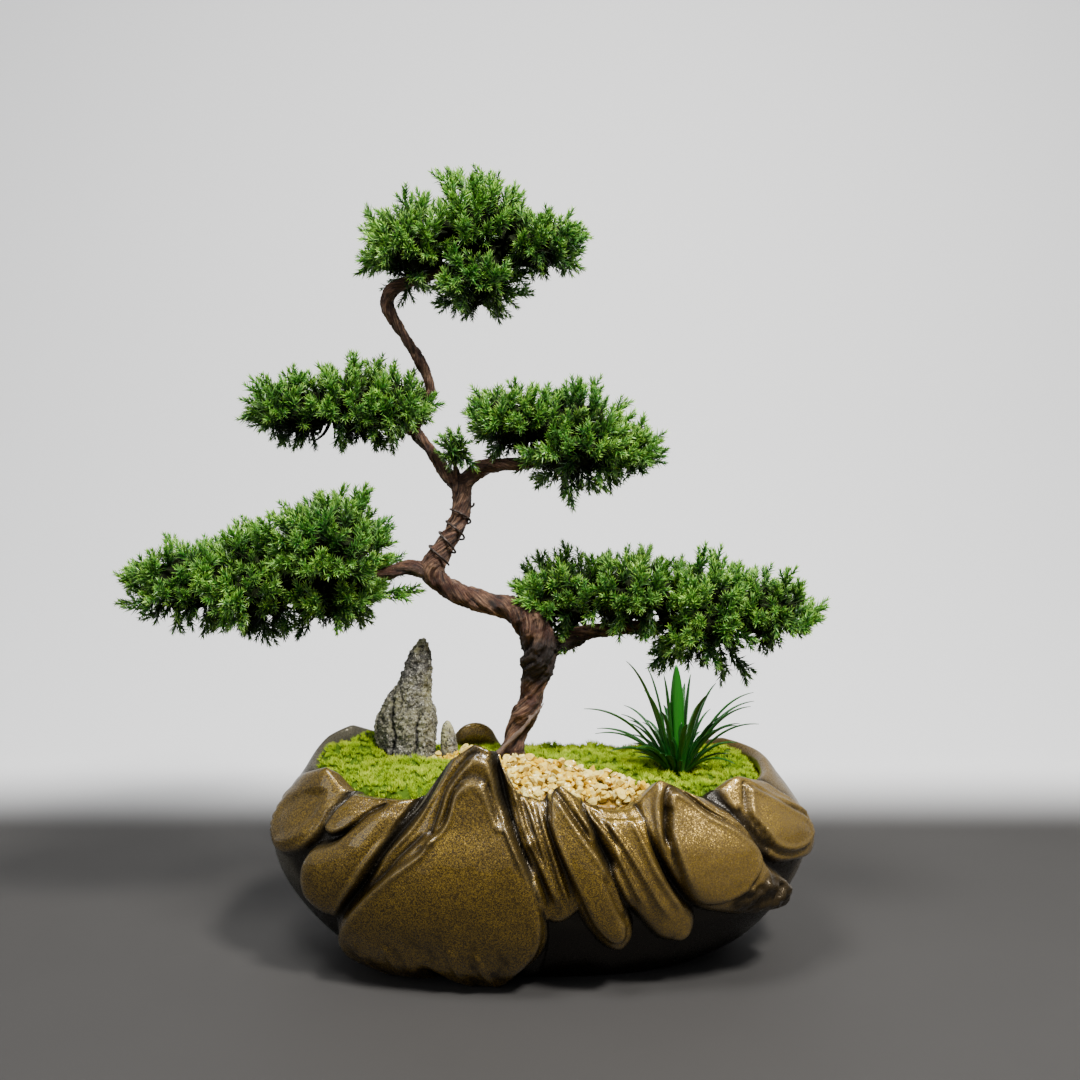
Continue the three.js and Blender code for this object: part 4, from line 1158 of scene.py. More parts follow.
def fold_height(u, z, height, half_width, line):
    """Height of a rounded fold or crease that fades at both ends"""
    distance, share = line_distance(u, z, spline(line, [4] * (len(line) - 1)))
    fade = smoothstep(np.minimum(share, 1 - share), 0, 0.18)
    return height * fade * np.exp(-((distance / half_width) ** 2))


def bead_height(inside):
    """Bead just inside an edge and a crease just outside it, over the distance inside the edge"""
    bead, bead_at, bead_width = BEAD
    crease, crease_at, crease_width = CREASE
    raised = bead * np.exp(-(((inside - bead_at) / bead_width) ** 2))
    return raised - crease * np.exp(-(((inside - crease_at) / crease_width) ** 2))


def pot_relief(u, z):
    """How far the relief stands out of the wall, and how much of it is rock, over the girth and height"""
    relief = np.zeros(u.shape)
    rock = np.zeros(u.shape)
    upper = smoothstep(z, BEAD_FROM_Z, BEAD_FULL_Z)
    for height, bevel, outline in ROCKS:
        inside = inside_distance(u, z, rounded(outline))
        share = np.clip((inside + 1) / bevel, 0, 1)
        body = height * np.sqrt(1 - (1 - share) ** 2)
        belly = BELLY_SLOPE * np.clip(inside, 0, BELLY_REACH)
        relief = np.maximum(relief, body + belly + bead_height(inside) * upper)
        rock = np.maximum(rock, smoothstep(inside, -1, 2))
    for height, bevel, outline in STEPS:
        inside = inside_distance(u, z, rounded(outline))
        relief += STEP_BOLDNESS * height * np.sqrt(1 - (1 - np.clip(inside / bevel, 0, 1)) ** 2)
        relief += bead_height(inside) * upper
    depth, bevel, outline = HOLLOW
    relief -= depth * smoothstep(inside_distance(u, z, rounded(outline)), 0, bevel)
    for height, half_width, line in FOLDS:
        relief += FOLD_BOLDNESS * fold_height(u, z, height, half_width, line)
    for nub_u, nub_z, height, radius in NUBS:
        relief += height * np.exp(-((u - nub_u) ** 2 + (z - nub_z) ** 2) / radius**2)
    places = np.stack([u, z, np.zeros(u.shape)], axis=-1)
    knob = smoothstep(inside_distance(u, z, rounded(KNOB)), -1, 4)
    relief += knob * (KNOB_HEIGHT + 3.4 * wavy(places, 0.13, 7.3) + 2.2 * wavy(places, 0.33, 3.1))
    relief += rock * (0.8 * wavy(places, 0.035, 1.7) + 0.3 * wavy(places, 0.12, 5.2))
    return relief, rock, knob


def blurred(table, radius):
    """A table of the wall smoothed over its neighbours, all the way round the girth"""
    total = np.zeros(table.shape)
    for shift in range(-radius, radius + 1):
        total += np.roll(table, shift, axis=1)
    table = total / (2 * radius + 1)
    padded = np.pad(table, ((radius, radius), (0, 0)), mode="edge")
    total = sum(padded[shift:shift + len(table)] for shift in range(2 * radius + 1))
    return total / (2 * radius + 1)


def pot_rows(row_height):
    """Rows of the wall: half length, half depth, height, share of the rise, and reach of the relief"""
    stations = [(length, depth, z, 0, 1) for length, depth, z in POT_OUTSIDE]
    stations += [(length, depth, POT_NECK_Z, share, 1) for length, depth, share in POT_LIP]
    stations += [(length, depth, z, 0, 0) for length, depth, z in POT_INSIDE]
    last_lip = len(POT_OUTSIDE) + len(POT_LIP) - 1
    stations[last_lip] = stations[last_lip][:4] + (0,)
    counts = []
    for i, (start, end) in enumerate(zip(stations, stations[1:])):
        drop = abs(end[2] + TYPICAL_RISE * end[3] - start[2] - TYPICAL_RISE * start[3])
        distance = math.hypot(end[0] - start[0], drop)
        fineness = 1 if i <= last_lip else 4
        counts.append(max(1, round(distance * MM / (row_height * fineness))))
    return spline(stations, counts)


def fill_floor(wall, z, holes):
    """Closes the wall at a height with a flat floor that has round holes in it"""
    edges = [e for e in wall.edges if e.is_boundary and abs(e.verts[0].co.z - z * MM) < 1e-5]
    rings = []
    for x in holes:
        ring = bmesh.ops.create_circle(
            wall, segments=24, radius=DRAIN_HOLE_RADIUS * MM, matrix=Matrix.Translation((x * MM, 0, z * MM))
        )["verts"]
        rings.append(list({edge for vert in ring for edge in vert.link_edges}))
    for ring in rings:
        edges += ring
    bmesh.ops.triangle_fill(wall, edges=edges, use_beauty=True, normal=(0, 0, 1))
    return rings


def rim_height(u, half_girth):
    """Height of the rim over the girth, with the skyline's corners softened"""
    skyline_u, skyline_z = np.array(SKYLINE, float).T
    fine_u = np.linspace(-half_girth, half_girth, 921)
    skyline = np.interp(fine_u, skyline_u, skyline_z)
    dome_u, dome_width, dome_rise = BACK_DOME
    skyline += dome_rise * np.sqrt(np.clip(1 - ((fine_u - dome_u) / dome_width) ** 2, 0, 1))
    window = np.hanning(9) / np.hanning(9).sum()
    skyline = np.convolve(np.pad(skyline, 4, mode="wrap"), window, mode="valid")
    return np.interp(u, fine_u, skyline)


def dark_glaze_and_shade_mask(u, z, relief, rock, narrow, wide):
    """1 where the glaze is dark: on steep sides and in grooves, as pooled glaze and painted shade, and below
    the rocks and in blotches low on them, as painted shade that grows darker towards the bottom
    """
    slope_along = np.gradient(relief, axis=1) / np.gradient(u, axis=1)
    slope_up = np.gradient(relief, axis=0) / np.maximum(np.abs(np.gradient(z, axis=0)), 0.5)
    steep = 0.55 * smoothstep(np.hypot(slope_along, slope_up), 0.45, 1.5)
    in_groove = np.maximum(0.9 * smoothstep(-wide, 1.2, 4), 0.8 * smoothstep(-narrow, 0.6, 1.8))
    places = np.stack([u, z, np.zeros(z.shape)], axis=-1)
    blotches = smoothstep(wavy(places, 0.07, 4.4) + 0.6 * wavy(places, 0.24, 2.6), 0.05, 0.6)
    # Painted shade: blotches low on the rocks, darker towards the bottom
    lower_shade = 0.7 * blotches * rock * smoothstep(-z, -52, -14)
    # Painted shade: the shell below the rocks goes near-black
    under = smoothstep(-z, -70, -35) * (1 - rock)
    return np.maximum(np.maximum(np.maximum(steep, in_groove), lower_shade), under)


def glaze_masks(u, z, relief, rock, knob, reach):
    """Masks over the wall that tell the glaze where it is brown; where it is warmer, which on the right is
    painted light; where it is pale along the ridges, as wear and painted highlight; where it is dark, as
    pooled glaze and painted shade; and where it is gilded
    """
    narrow = (relief - blurred(relief, NARROW_REACH)) * reach
    wide = (relief - blurred(relief, WIDE_REACH)) * reach
    dark_glaze_and_shade = dark_glaze_and_shade_mask(u, z, relief, rock, narrow, wide)
    # Painted light: the right end, towards the light, gets more rock glaze and gilding
    lit_right_end = smoothstep(u, 150, 215) * smoothstep(-u, -390, -290)
    dome = np.exp(-(((u - BACK_DOME[0]) / BACK_DOME[1]) ** 4)) * smoothstep(z, 116, 120)
    gilding = np.clip(0.1 + 0.3 * lit_right_end + 0.9 * rock * (1 - 0.6 * knob), 0, 1) * reach
    return {
        "rock": np.clip(rock + 0.75 * lit_right_end + dome, 0, 1),
        "warm_and_lit": np.maximum(smoothstep(u, 0, 130) * reach, 0.8 * dome),
        # Ridges, where the pale gold is partly wear and partly painted highlight
        "ridge": 0.1 * smoothstep(narrow, 0.7, 2.2),
        # Painted shade: the knob is darkened along with the grooves
        "dark_glaze_and_shade": np.maximum(dark_glaze_and_shade, 0.85 * knob) * np.minimum(1, 2 * reach),
        "gilding": np.maximum(gilding, dome),
    }


def make_pot_shape(pot):
    """The pot's wall, lip, relief and pierced floor, with the masks that its glaze follows"""
    girth, plan, tangent = plan_line()
    half_girth = girth[-1]
    t = 2 * np.arange(pot.columns) / pot.columns - 1
    u = half_girth * (EVEN_COLUMNS * t + (1 - EVEN_COLUMNS) * t**3)
    rows = pot_rows(pot.row_height)
    length, depth, base, share, reach = (rows[:, i][:, None] for i in range(5))
    z = base + share * (rim_height(u, half_girth)[None, :] - POT_NECK_Z)
    wall_u = np.broadcast_to(u, z.shape)
    relief, rock, knob = pot_relief(wall_u, z)
    reach = np.clip(reach, 0, 1)
    x = np.interp(u, girth, plan[:, 0])[None, :] / POT_HALF_LENGTH * length
    y = np.interp(u, girth, plan[:, 1])[None, :] / POT_HALF_DEPTH * depth
    x = x + np.interp(u, girth, tangent[:, 1])[None, :] * relief * reach
    y = y - np.interp(u, girth, tangent[:, 0])[None, :] * relief * reach
    wall, keys = sweep(np.stack([x, y, z], axis=-1))
    masks = glaze_masks(wall_u, z, relief, rock, knob, reach)
    outer_rings = fill_floor(wall, 0, (-DRAIN_HOLE_X, DRAIN_HOLE_X))
    inner_rings = fill_floor(wall, POT_FLOOR_Z, (-DRAIN_HOLE_X, DRAIN_HOLE_X))
    for outer, inner in zip(outer_rings, inner_rings):
        bmesh.ops.bridge_loops(wall, edges=outer + inner)
    bmesh.ops.recalc_face_normals(wall, faces=wall.faces)
    spare = len(wall.verts) - len(keys)
    rows_index, columns_index = keys.T
    values = {
        label: np.concatenate([table[rows_index, columns_index], np.zeros(spare)])
        for label, table in masks.items()
    }
    return wall, values


class BONSAI_OT_pot(Operator):
    """Builds the glazed pot with its relief of rocks"""

    bl_idname = "bonsai.add_pot"
    bl_label = "Add pot"

    def execute(self, context):
        pot = context.scene.bonsai.pot
        shape, masks = make_pot_shape(pot)
        finish_piece(shape, "mountain_pot", "pot", [make_glaze(pot)], masks, smooth=True)
        return {"FINISHED"}


# Wood


class Limb:
    """Centre line of a piece of wood with its radius, and a frame that turns along with it"""

    def __init__(self, centres, radii):
        self.centres = centres
        self.radii = radii
        steps = np.linalg.norm(np.diff(centres, axis=0), axis=1)
        self.along = np.concatenate([[0], np.cumsum(steps)])
        tangents = np.gradient(centres, axis=0)
        self.tangents = tangents / np.linalg.norm(tangents, axis=1)[:, None]
        self.normals = self.turning_normals()
        self.binormals = np.cross(self.tangents, self.normals)

    def turning_normals(self):
        """Normals that are carried along without twisting"""
        first = Vector(self.tangents[0])
        axis = min((2, 1, 0), key=lambda i: abs(round(first[i], 6)))
        sideways = first.cross(Vector([i == axis for i in range(3)])).normalized()
        normal = first.cross(sideways)
        normals = [normal]
        for before, after in zip(self.tangents, self.tangents[1:]):
            normal = Vector(before).rotation_difference(Vector(after)) @ normal
            normals.append(normal)
        return np.array(normals)

    def ring_places(self, sides, swell=0.0, twist=0.0, grow=0.0):
        """Places round the limb, one row for each step"""
        angle = np.arange(sides)[None, :] * 2 * math.pi / sides
        turned = angle + twist * self.along[:, None]
        reach = self.radii[:, None] * (1 + swell * np.sin(2 * turned)) + grow
        across = np.cos(angle)[..., None] * self.binormals[:, None]
        upright = np.sin(angle)[..., None] * self.normals[:, None]
        return self.centres[:, None] + reach[..., None] * (across + upright)


def grow_limb(stations):
    """Smooth limb through points with their radii"""
    points = np.array(stations, float)
    gaps = np.linalg.norm(np.diff(points[:, :3], axis=0), axis=1)
    rows = spline(points, [max(2, math.ceil(gap / LIMB_STEP)) for gap in gaps])
    return Limb(rows[:, :3], rows[:, 3])


def nearest_steps(places, limbs):
    """For each place the limb step whose bark is nearest, as an index into all the limbs' steps"""
    centres = np.vstack([limb.centres for limb in limbs])
    radii = np.concatenate([limb.radii for limb in limbs])
    found = []
    block = 2000
    for start in range(0, len(places), block):
        gaps = np.linalg.norm(places[start:start + block, None] - centres[None], axis=2) - radii
        found.append(gaps.argmin(axis=1))
    return np.concatenate(found)


def bark_grain(places, step, limbs, twist):
    """Place of each vertex in the grain, its angle round the limb with the twist, and the limb's radius"""
    centres, tangents, across, upright = (
        np.vstack([getattr(limb, part) for limb in limbs])[step]
        for part in ("centres", "tangents", "binormals", "normals")
    )
    radii = np.concatenate([limb.radii for limb in limbs])[step]
    lengths = np.concatenate([limb.along + GRAIN_SHIFT * i for i, limb in enumerate(limbs)])
    offset = places - centres
    lengths = lengths[step] + (offset * tangents).sum(axis=1)
    angle = np.arctan2((offset * upright).sum(axis=1), (offset * across).sum(axis=1))
    turned = angle + twist * lengths
    grain = np.stack([np.cos(turned) * radii, np.sin(turned) * radii, lengths], axis=1)
    return grain, turned, radii


def knot_height(places):
    """Height of the knots, each a sunken eye in two raised rings"""
    height = np.zeros(len(places))
    for middle, radius in KNOTS:
        distance = np.linalg.norm(places - np.array(middle), axis=1)
        for ring in (radius, 0.45 * radius):
            height += 0.9 * np.exp(-(((distance - ring) / 0.8) ** 2))
        height -= 1.2 * np.exp(-((distance / 1.2) ** 2))
    return height


def make_wood_shape(wood):
    """Trunk, branches and roots as one skin, with twisted strands of bark raised from it"""
    limbs = [grow_limb(stations) for stations in [TRUNK] + BRANCHES + ROOTS + [BARE_STRIP]]
    rough_wood = bmesh.new()
    for limb in limbs:
        tube, _ = sweep(limb.ring_places(20, BARK_SWELL, wood.twist))
        close(tube)
        pour(tube, rough_wood)
    skin = make_skin(rough_wood, wood.skin, 2)
    places, normals = places_of(skin)
    step = nearest_steps(places, limbs)
    grain, turned, radii = bark_grain(places, step, limbs, wood.twist)
    wander = 0.9 * wavy(grain * (0.1, 0.1, 0.035), 1.0, 4.0)
    strands = np.abs(np.sin(0.5 * STRANDS * turned + wander * 2)) ** 0.75
    thin = np.abs(np.sin(0.5 * THIN_STRANDS * turned - 3 * wander + 0.6)) ** 0.8
    fibres = rough(grain * (0.75, 0.75, 0.075), 1.0, 5, 9.0)
    plates = smoothstep(wavy(grain * (0.22, 0.22, 0.05), 1.0, 2.0), 0.05, 0.2)
    lumps = wavy(places, 0.11, 6.0)
    crust = wavy(places, 0.3, 3.0) + 0.6 * wavy(places, 0.7, 8.0)
    z = places[:, 2]
    # Band of painted shade below the lowest branch, where the crust is also rougher
    black_bark_and_shade = smoothstep(z, SHADE_FROM_Z, SHADE_FROM_Z + 8)
    black_bark_and_shade *= smoothstep(-z, -SHADE_TO_Z, -SHADE_TO_Z + 14)
    depth = wood.strand_depth * radii
    raised = depth * (strands - 0.72) + 0.3 * depth * (thin - 0.6)
    raised += wood.fibre_depth / MM * fibres + 0.5 * plates + 0.12 * radii * lumps
    raised += (0.5 + 0.9 * black_bark_and_shade) * crust
    raised += knot_height(places)
    on_strip = step >= sum(len(limb.radii) for limb in limbs[:-1])
    raised[on_strip] = 0.7 * fibres[on_strip] + 0.5 * crust[on_strip]
    move_to(skin, places + normals * raised[:, None])
    # Painted shade in the hollows between the strands
    deep_bark_and_shade = smoothstep(-(raised - 0.5 * plates) / (depth + 0.35), 0.05, 0.7)
    dark_foot = smoothstep(-z, -DARK_BELOW_Z, -DARK_BELOW_Z + 6)
    darker_foot = 0.5 * smoothstep(-z, -DARKER_BELOW_Z, -DARK_BELOW_Z - 4)
    masks = {
        "grain": grain,
        "deep_bark_and_shade": np.maximum(deep_bark_and_shade, dark_foot) * ~on_strip,
        "black_bark_and_shade": np.clip(black_bark_and_shade + darker_foot, 0, 1) * ~on_strip,
        "weather": 0.85 * on_strip,
    }
    return skin, masks


class BONSAI_OT_wood(Operator):
    """Builds the trunk with its branches and roots"""

    bl_idname = "bonsai.add_wood"
    bl_label = "Add trunk"

    def execute(self, context):
        wood = context.scene.bonsai.wood
        shape, masks = make_wood_shape(wood)
        finish_piece(shape, "twisted_trunk", "trunk", [make_bark(wood)], masks, smooth=True)
        return {"FINISHED"}


class BONSAI_OT_wire(Operator):
    """Builds the training wire round the bend of the trunk"""

    bl_idname = "bonsai.add_wire"
    bl_label = "Add training wire"

    def execute(self, context):
        trunk = grow_limb(TRUNK)
        steps = STEPS_PER_TURN * WIRE_TURNS
        share = np.linspace(WIRE_FROM, WIRE_TO, steps + 1)
        angle = np.linspace(0, 2 * math.pi * WIRE_TURNS, steps + 1)
        along = share * trunk.along[-1]

        def at(table):
            return np.stack([np.interp(along, trunk.along, column) for column in table.T], axis=1)

        reach = np.interp(along, trunk.along, trunk.radii) * (1 + BARK_SWELL) + WIRE_REACH
        centres = at(trunk.centres)
        centres += at(trunk.binormals) * (np.cos(angle) * reach)[:, None]
        centres += at(trunk.normals) * (np.sin(angle) * reach)[:, None]
        wire = Limb(centres, np.full(len(centres), WIRE_RADIUS))
        tube, _ = sweep(wire.ring_places(10))
        close(tube)
        finish = make_wire_finish(context.scene.bonsai.wire)
        finish_piece(tube, "wound_wire", "training_wire", [finish], smooth=True)
        return {"FINISHED"}


# Foliage


def grow_needles(shape, layers, draw, axis, foliage):
    """Puts whorls of needles on a bent shoot, given as a foot, a heading, a length and a bend"""
    foot, heading, length, bend = axis
    needle = foliage.needle / MM
    whorls = max(4, round(length * (1 - BARE_FOOT) / WHORL_GAP))
    roll = draw.uniform(0, math.tau)
    side = heading.orthogonal().normalized()
    for whorl in range(whorls):
        share = BARE_FOOT + (1 - BARE_FOOT) * (whorl + 0.5) / whorls
        middle = foot + heading * (length * share) + bend * (share * share * length)
        bent = (heading + bend * (2 * share)).normalized()
        lean = math.radians(NEEDLE_LEAN - LEAN_LOST * share + draw.uniform(-8, 8))
        grown = needle * (0.6 + 0.45 * math.sin(math.pi * min(1, share + 0.15)))
        for k in range(WHORL_SIZE):
            turn = roll + whorl * 1.2 + k * math.tau / WHORL_SIZE + draw.uniform(-0.25, 0.25)
            radial = Matrix.Rotation(turn, 3, bent) @ side
            direction = (bent * math.cos(lean) + radial * math.sin(lean)).normalized()
            reach = grown * draw.uniform(0.85, 1.12)
            placed = Matrix.Translation(middle + direction * (0.5 * reach))
            placed @= aim(direction, draw.uniform(0, math.tau)) @ Matrix.Diagonal((1, 0.6, 1, 1))
            spike = bmesh.ops.create_cone(
                shape, cap_ends=True, segments=3, radius1=0.5 * foliage.needle_width / MM, radius2=0,
                depth=reach, matrix=placed,
            )["verts"]
            for vert in spike:
                outward = (vert.co - middle).dot(direction) / reach
                vert[layers["tip"]] = 0.3 * share + 0.7 * max(0.0, outward)


def add_stem(shape, layers, axis):
    """Thin stem of a shoot"""
    foot, heading, length, bend = axis
    middle = foot + (heading + bend * 0.5) * (length * 0.5)
    direction = (heading + bend * 0.6).normalized()
    stem = bmesh.ops.create_cone(
        shape, cap_ends=True, segments=3, radius1=0.55, radius2=0.3, depth=length,
        matrix=Matrix.Translation(middle) @ aim(direction, 0),
    )["verts"]
    for vert in stem:
        vert[layers["tip"]] = 0.0


def make_spray(name, seed, length, side_shoots, foliage):
    """Pattern mesh, in millimetres, of a shoot that grows up from the origin, with its side shoots"""
    draw = random.Random(seed)
    shape = bmesh.new()
    layers = {"tip": shape.verts.layers.float.new("tip")}
    bend = Vector((draw.uniform(-0.2, 0.2), draw.uniform(-0.2, 0.2), 0))
    axes = [(Vector((0, 0, 0)), UP, length, bend)]
    for k in range(side_shoots):
        share = 0.22 + 0.5 * (k + 0.5) / side_shoots + draw.uniform(-0.05, 0.05)
        around = k * 2.4 + draw.uniform(-0.4, 0.4)
        out = Vector((math.cos(around), math.sin(around), 0))
        heading = (UP + out * draw.uniform(0.6, 0.95)).normalized()
        foot = UP * (share * length) + bend * (share * share * length)
        reach = draw.uniform(0.36, 0.5) * length
        axes.append((foot, heading, reach, UP * 0.15 - out * 0.12))
    for axis in axes:
        add_stem(shape, layers, axis)
        grow_needles(shape, layers, draw, axis, foliage)
    return {"mesh": cast(shape, name), "length": length}


def even_directions(count, draw):
    """Directions spread evenly over a ball, each a little off its place"""
    golden = math.pi * (3 - math.sqrt(5))
    start = draw.uniform(0, math.tau)
    directions = []
    for i in range(count):
        z = 1 - 2 * (i + 0.5) / count
        ring = math.sqrt(1 - z * z)
        around = start + golden * i
        direction = Vector((ring * math.cos(around), ring * math.sin(around), z))
        shift = jitter(draw) * (0.9 / math.sqrt(count))
        directions.append((direction + shift).normalized())
    return directions


def lobe_share(point, lobe):
    """How far out a point is in a lobe: 0 in its middle, 1 on its surface"""
    return math.hypot(*((point[i] - lobe[i]) / lobe[i + 3] for i in range(3)))


def lobe_area(lobe):
    """Surface of a lobe, by the usual close formula for an ellipsoid"""
    power = 1.6075
    a, b, c = (radius**power for radius in lobe[3:])
    return 4 * math.pi * ((a * b + a * c + b * c) / 3) ** (1 / power)


def place_shoot(whole, pattern, tip, heading, length, draw, **values):
    """Adds a copy of a spray that ends at a tip"""
    stretch = length / pattern["length"]
    width = MM * min(1.15, max(0.85, stretch))
    matrix = (
        Matrix.Translation((tip - heading * length) * MM)
        @ aim(heading, draw.uniform(0, math.tau))
        @ Matrix.Diagonal((width, width, MM * stretch, 1))
    )
    add_copy(whole, pattern["mesh"], matrix, **values)


def clothe_lobe(whole, patterns, lobe, others, layer, draw, foliage):
    """Covers a lobe with one layer of shoots, densely on top and thinly underneath"""
    middle = Vector(lobe[:3])
    radii = Vector(lobe[3:])
    outermost, spacing_factor, kind = layer
    spacing = foliage.spacing / MM * spacing_factor
    count = max(8, round(lobe_area(lobe) * outermost**2 / spacing**2))
    for direction in even_directions(count, draw):
        bulge = noise.noise(direction * 2.2 + middle * 0.13) + 0.5 * noise.noise(direction * 5 + middle)
        share = outermost * (0.97 + foliage.clumping * bulge) * draw.uniform(0.94, 1.04)
        share = min(share, 1.08 * outermost)
        tip = middle + Vector([radii[i] * direction[i] * share for i in range(3)])
        if any(lobe_share(tip, other) < BURIED_SHARE * outermost for other in others):
            continue
        outward = Vector([direction[i] / radii[i] for i in range(3)]).normalized()
        underneath = outward.z < -0.3
        if underneath and draw.random() < BARE_UNDERSIDE:
            continue
        lift = 0.15 if underneath else 0.55
        wild = jitter(draw) * 0.3
        heading = (outward + UP * lift + wild).normalized()
        pattern = draw.choice(patterns[kind])
        length = pattern["length"] * draw.uniform(0.85, 1.12)
        place_shoot(whole, pattern, tip, heading, length, draw, tone=draw.random())


def add_core(whole, lobe):
    """Small dark tangle in the middle of a lobe, rugged all over; its near-black is painted shade"""
    core = bmesh.new()
    bmesh.ops.create_icosphere(core, subdivisions=4, radius=1)
    for vert in core.verts:
        coarse = 0.2 * noise.noise(vert.co * 3.1 + Vector(lobe[:3]))
        bulge = CORE_SHARE + coarse + 0.16 * noise.noise(vert.co * 9)
        vert.co = Vector([lobe[i] + lobe[i + 3] * vert.co[i] * bulge for i in range(3)]) * MM
    for face in core.faces:
        face.material_index = 1
    pour(core, whole)


def add_twigs(whole, lobe, wood_points, draw):
    """Thin crooked twigs from the nearest wood out into a lobe"""
    middle = Vector(lobe[:3])
    start = min(wood_points, key=lambda point: (Vector(point[:3]) - middle).length)
    for direction in even_directions(TWIGS_PER_LOBE, draw):
        end = middle + Vector([lobe[i + 3] * direction[i] for i in range(3)]) * 0.8
        foot = Vector(start[:3]).lerp(middle, draw.uniform(0.1, 0.8))
        bend = (foot + end) * 0.5 + jitter(draw, 7)
        limb = grow_limb([(*foot, 1.6), (*bend, 1.1), (*end, 0.45)])
        every_third_ring = limb.ring_places(4)[::3]
        twig, _ = sweep(every_third_ring)
        close(twig)
        for face in twig.faces:
            face.material_index = 1
        pour(twig, whole)


def pad_depth(whole, lobes):
    """How deep each vertex lies in its pad, from 0 outside to 1 inside and underneath, which darkens the
    needles as painted shade
    """
    places, _ = places_of(whole)
    share = np.full(len(places), np.inf)
    below = np.zeros(len(places))
    for lobe in lobes:
        offset = (places - lobe[:3]) / lobe[3:]
        distance = np.linalg.norm(offset, axis=1)
        below = np.where(distance < share, -offset[:, 2], below)
        share = np.minimum(share, distance)
    deep = 1 - smoothstep(share, 0.5, 0.95)
    return np.clip(0.9 * deep + 0.5 * smoothstep(below, 0.15, 0.85), 0, 1)


def make_pad_shape(pad, patterns, foliage, seed):
    """All the shoots and twigs of a pad, with the mask of how deep they lie"""
    draw = random.Random(seed)
    whole = bmesh.new()
    for label in ("tip", "tone"):
        whole.verts.layers.float.new(label)
    lobes = pad["lobes"]
    wood_points = [point for line in [TRUNK] + BRANCHES for point in line]
    layers = SHOOT_LAYERS if len(lobes) > 1 else TUFT_LAYERS
    for lobe in lobes:
        others = [other for other in lobes if other is not lobe]
        for layer in layers:
            clothe_lobe(whole, patterns, lobe, others, layer, draw, foliage)
        if len(lobes) > 1:
            add_core(whole, lobe)
            add_twigs(whole, lobe, wood_points, draw)
    for place in pad["sprigs"]:
        tip = Vector(place)
        nearest = min(lobes, key=lambda lobe: lobe_share(tip, lobe))
        heading = (tip - Vector(nearest[:3])).normalized()
        pattern = draw.choice(patterns["leading"])
        place_shoot(whole, pattern, tip, heading, pattern["length"] * 1.1, draw, tone=0.7)
        for _ in range(3):
            shift = jitter(draw, 7)
            back = tip - heading * draw.uniform(8, 18) + shift
            wild = jitter(draw) * 0.45
            pattern = draw.choice(patterns["small"])
            place_shoot(whole, pattern, back, (heading + wild).normalized(), pattern["length"], draw,
                        tone=draw.random())
    return whole, {"inner": pad_depth(whole, lobes)}


class BONSAI_OT_foliage(Operator):
    """Builds the foliage pads out of needle shoots"""

    bl_idname = "bonsai.add_foliage"
    bl_label = "Add foliage"

    def execute(self, context):
        foliage = context.scene.bonsai.foliage
        shoot = foliage.shoot / MM
        patterns = {
            "small": [make_spray(f"small_{k}", 40 + k, shoot * (0.48 + 0.05 * k), k % 2, foliage)
                      for k in range(SMALL_SPRAYS)],
            "leading": [make_spray(f"leading_{k}", 80 + k, shoot * (0.85 + 0.05 * k), 4 + k % 2, foliage)
                        for k in range(LEADING_SPRAYS)],
        }
        finishes = [make_needle_finish(foliage), make_twig_finish(foliage)]
        for i, (name, pad) in enumerate(PADS.items()):
            shape, masks = make_pad_shape(pad, patterns, foliage, 500 + i)
            finish_piece(shape, name.replace("foliage", "needles"), name, finishes, masks)
        for pattern in patterns["small"] + patterns["leading"]:
            bpy.data.meshes.remove(pattern["mesh"])
        return {"FINISHED"}


# Stones


def crack_mask(places, normals):
    """1 in the upright cracks of the front and 0 away from them"""
    mask = np.zeros(len(places))
    for x, half_width, low, high in STONE_CRACKS:
        wander = 3 * wavy(places * (0, 0, 1), 0.07, x) + 1.2 * wavy(places * (0, 0, 1), 0.3, x)
        line = np.exp(-(((places[:, 0] - x - wander) / half_width) ** 2))
        reach = smoothstep(places[:, 2], low, low + 6) * smoothstep(-places[:, 2], -high, -high + 14)
        mask = np.maximum(mask, line * reach * smoothstep(-normals[:, 1], 0.1, 0.5))
    return mask


class BONSAI_OT_stones(Operator):
    """Builds the two stones"""

    bl_idname = "bonsai.add_stones"
    bl_label = "Add stones"

    def execute(self, context):
        stone = context.scene.bonsai.stone
        finish = make_stone_finish(stone)
        for node, seed in (("standing_stone", 3.0), ("small_stone", 8.0)):
            skin = make_skin(copy_solid(node), stone.skin, 4)
            places, normals = places_of(skin)
            upright_grain = places * (1, 1, 0.4)
            veins = np.clip(1 - np.abs(wavy(upright_grain, 0.16, seed)) * 6, 0, 1) ** 2
            cracks = crack_mask(places, normals)
            depth = CRAG_SHARE * (places[:, 0].max() - places[:, 0].min())
            crags = rough(upright_grain, 0.07, 5, seed) + 0.8 * rough(places, 0.2, 4, seed + 2)
            crags += 0.7 * rough(places, 0.55, 3, seed + 5)
            raised = depth * (crags - 0.8 * veins) - CRACK_DEPTH * cracks
            move_to(skin, places + normals * raised[:, None])
            low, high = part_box(node)
            masks = {
                # Painted shade in the cracks and veins
                "crack_shade": np.clip(0.45 * veins + cracks, 0, 1),
                # Upper part, where the olive film, partly painted highlight, is strongest
                "upper": smoothstep(places[:, 2] * MM, low.z, high.z) * 0.8 + 0.2,
            }
            finish_piece(skin, node.replace("stone", "rock"), node, [finish], masks, smooth=True)
        return {"FINISHED"}


# Grass


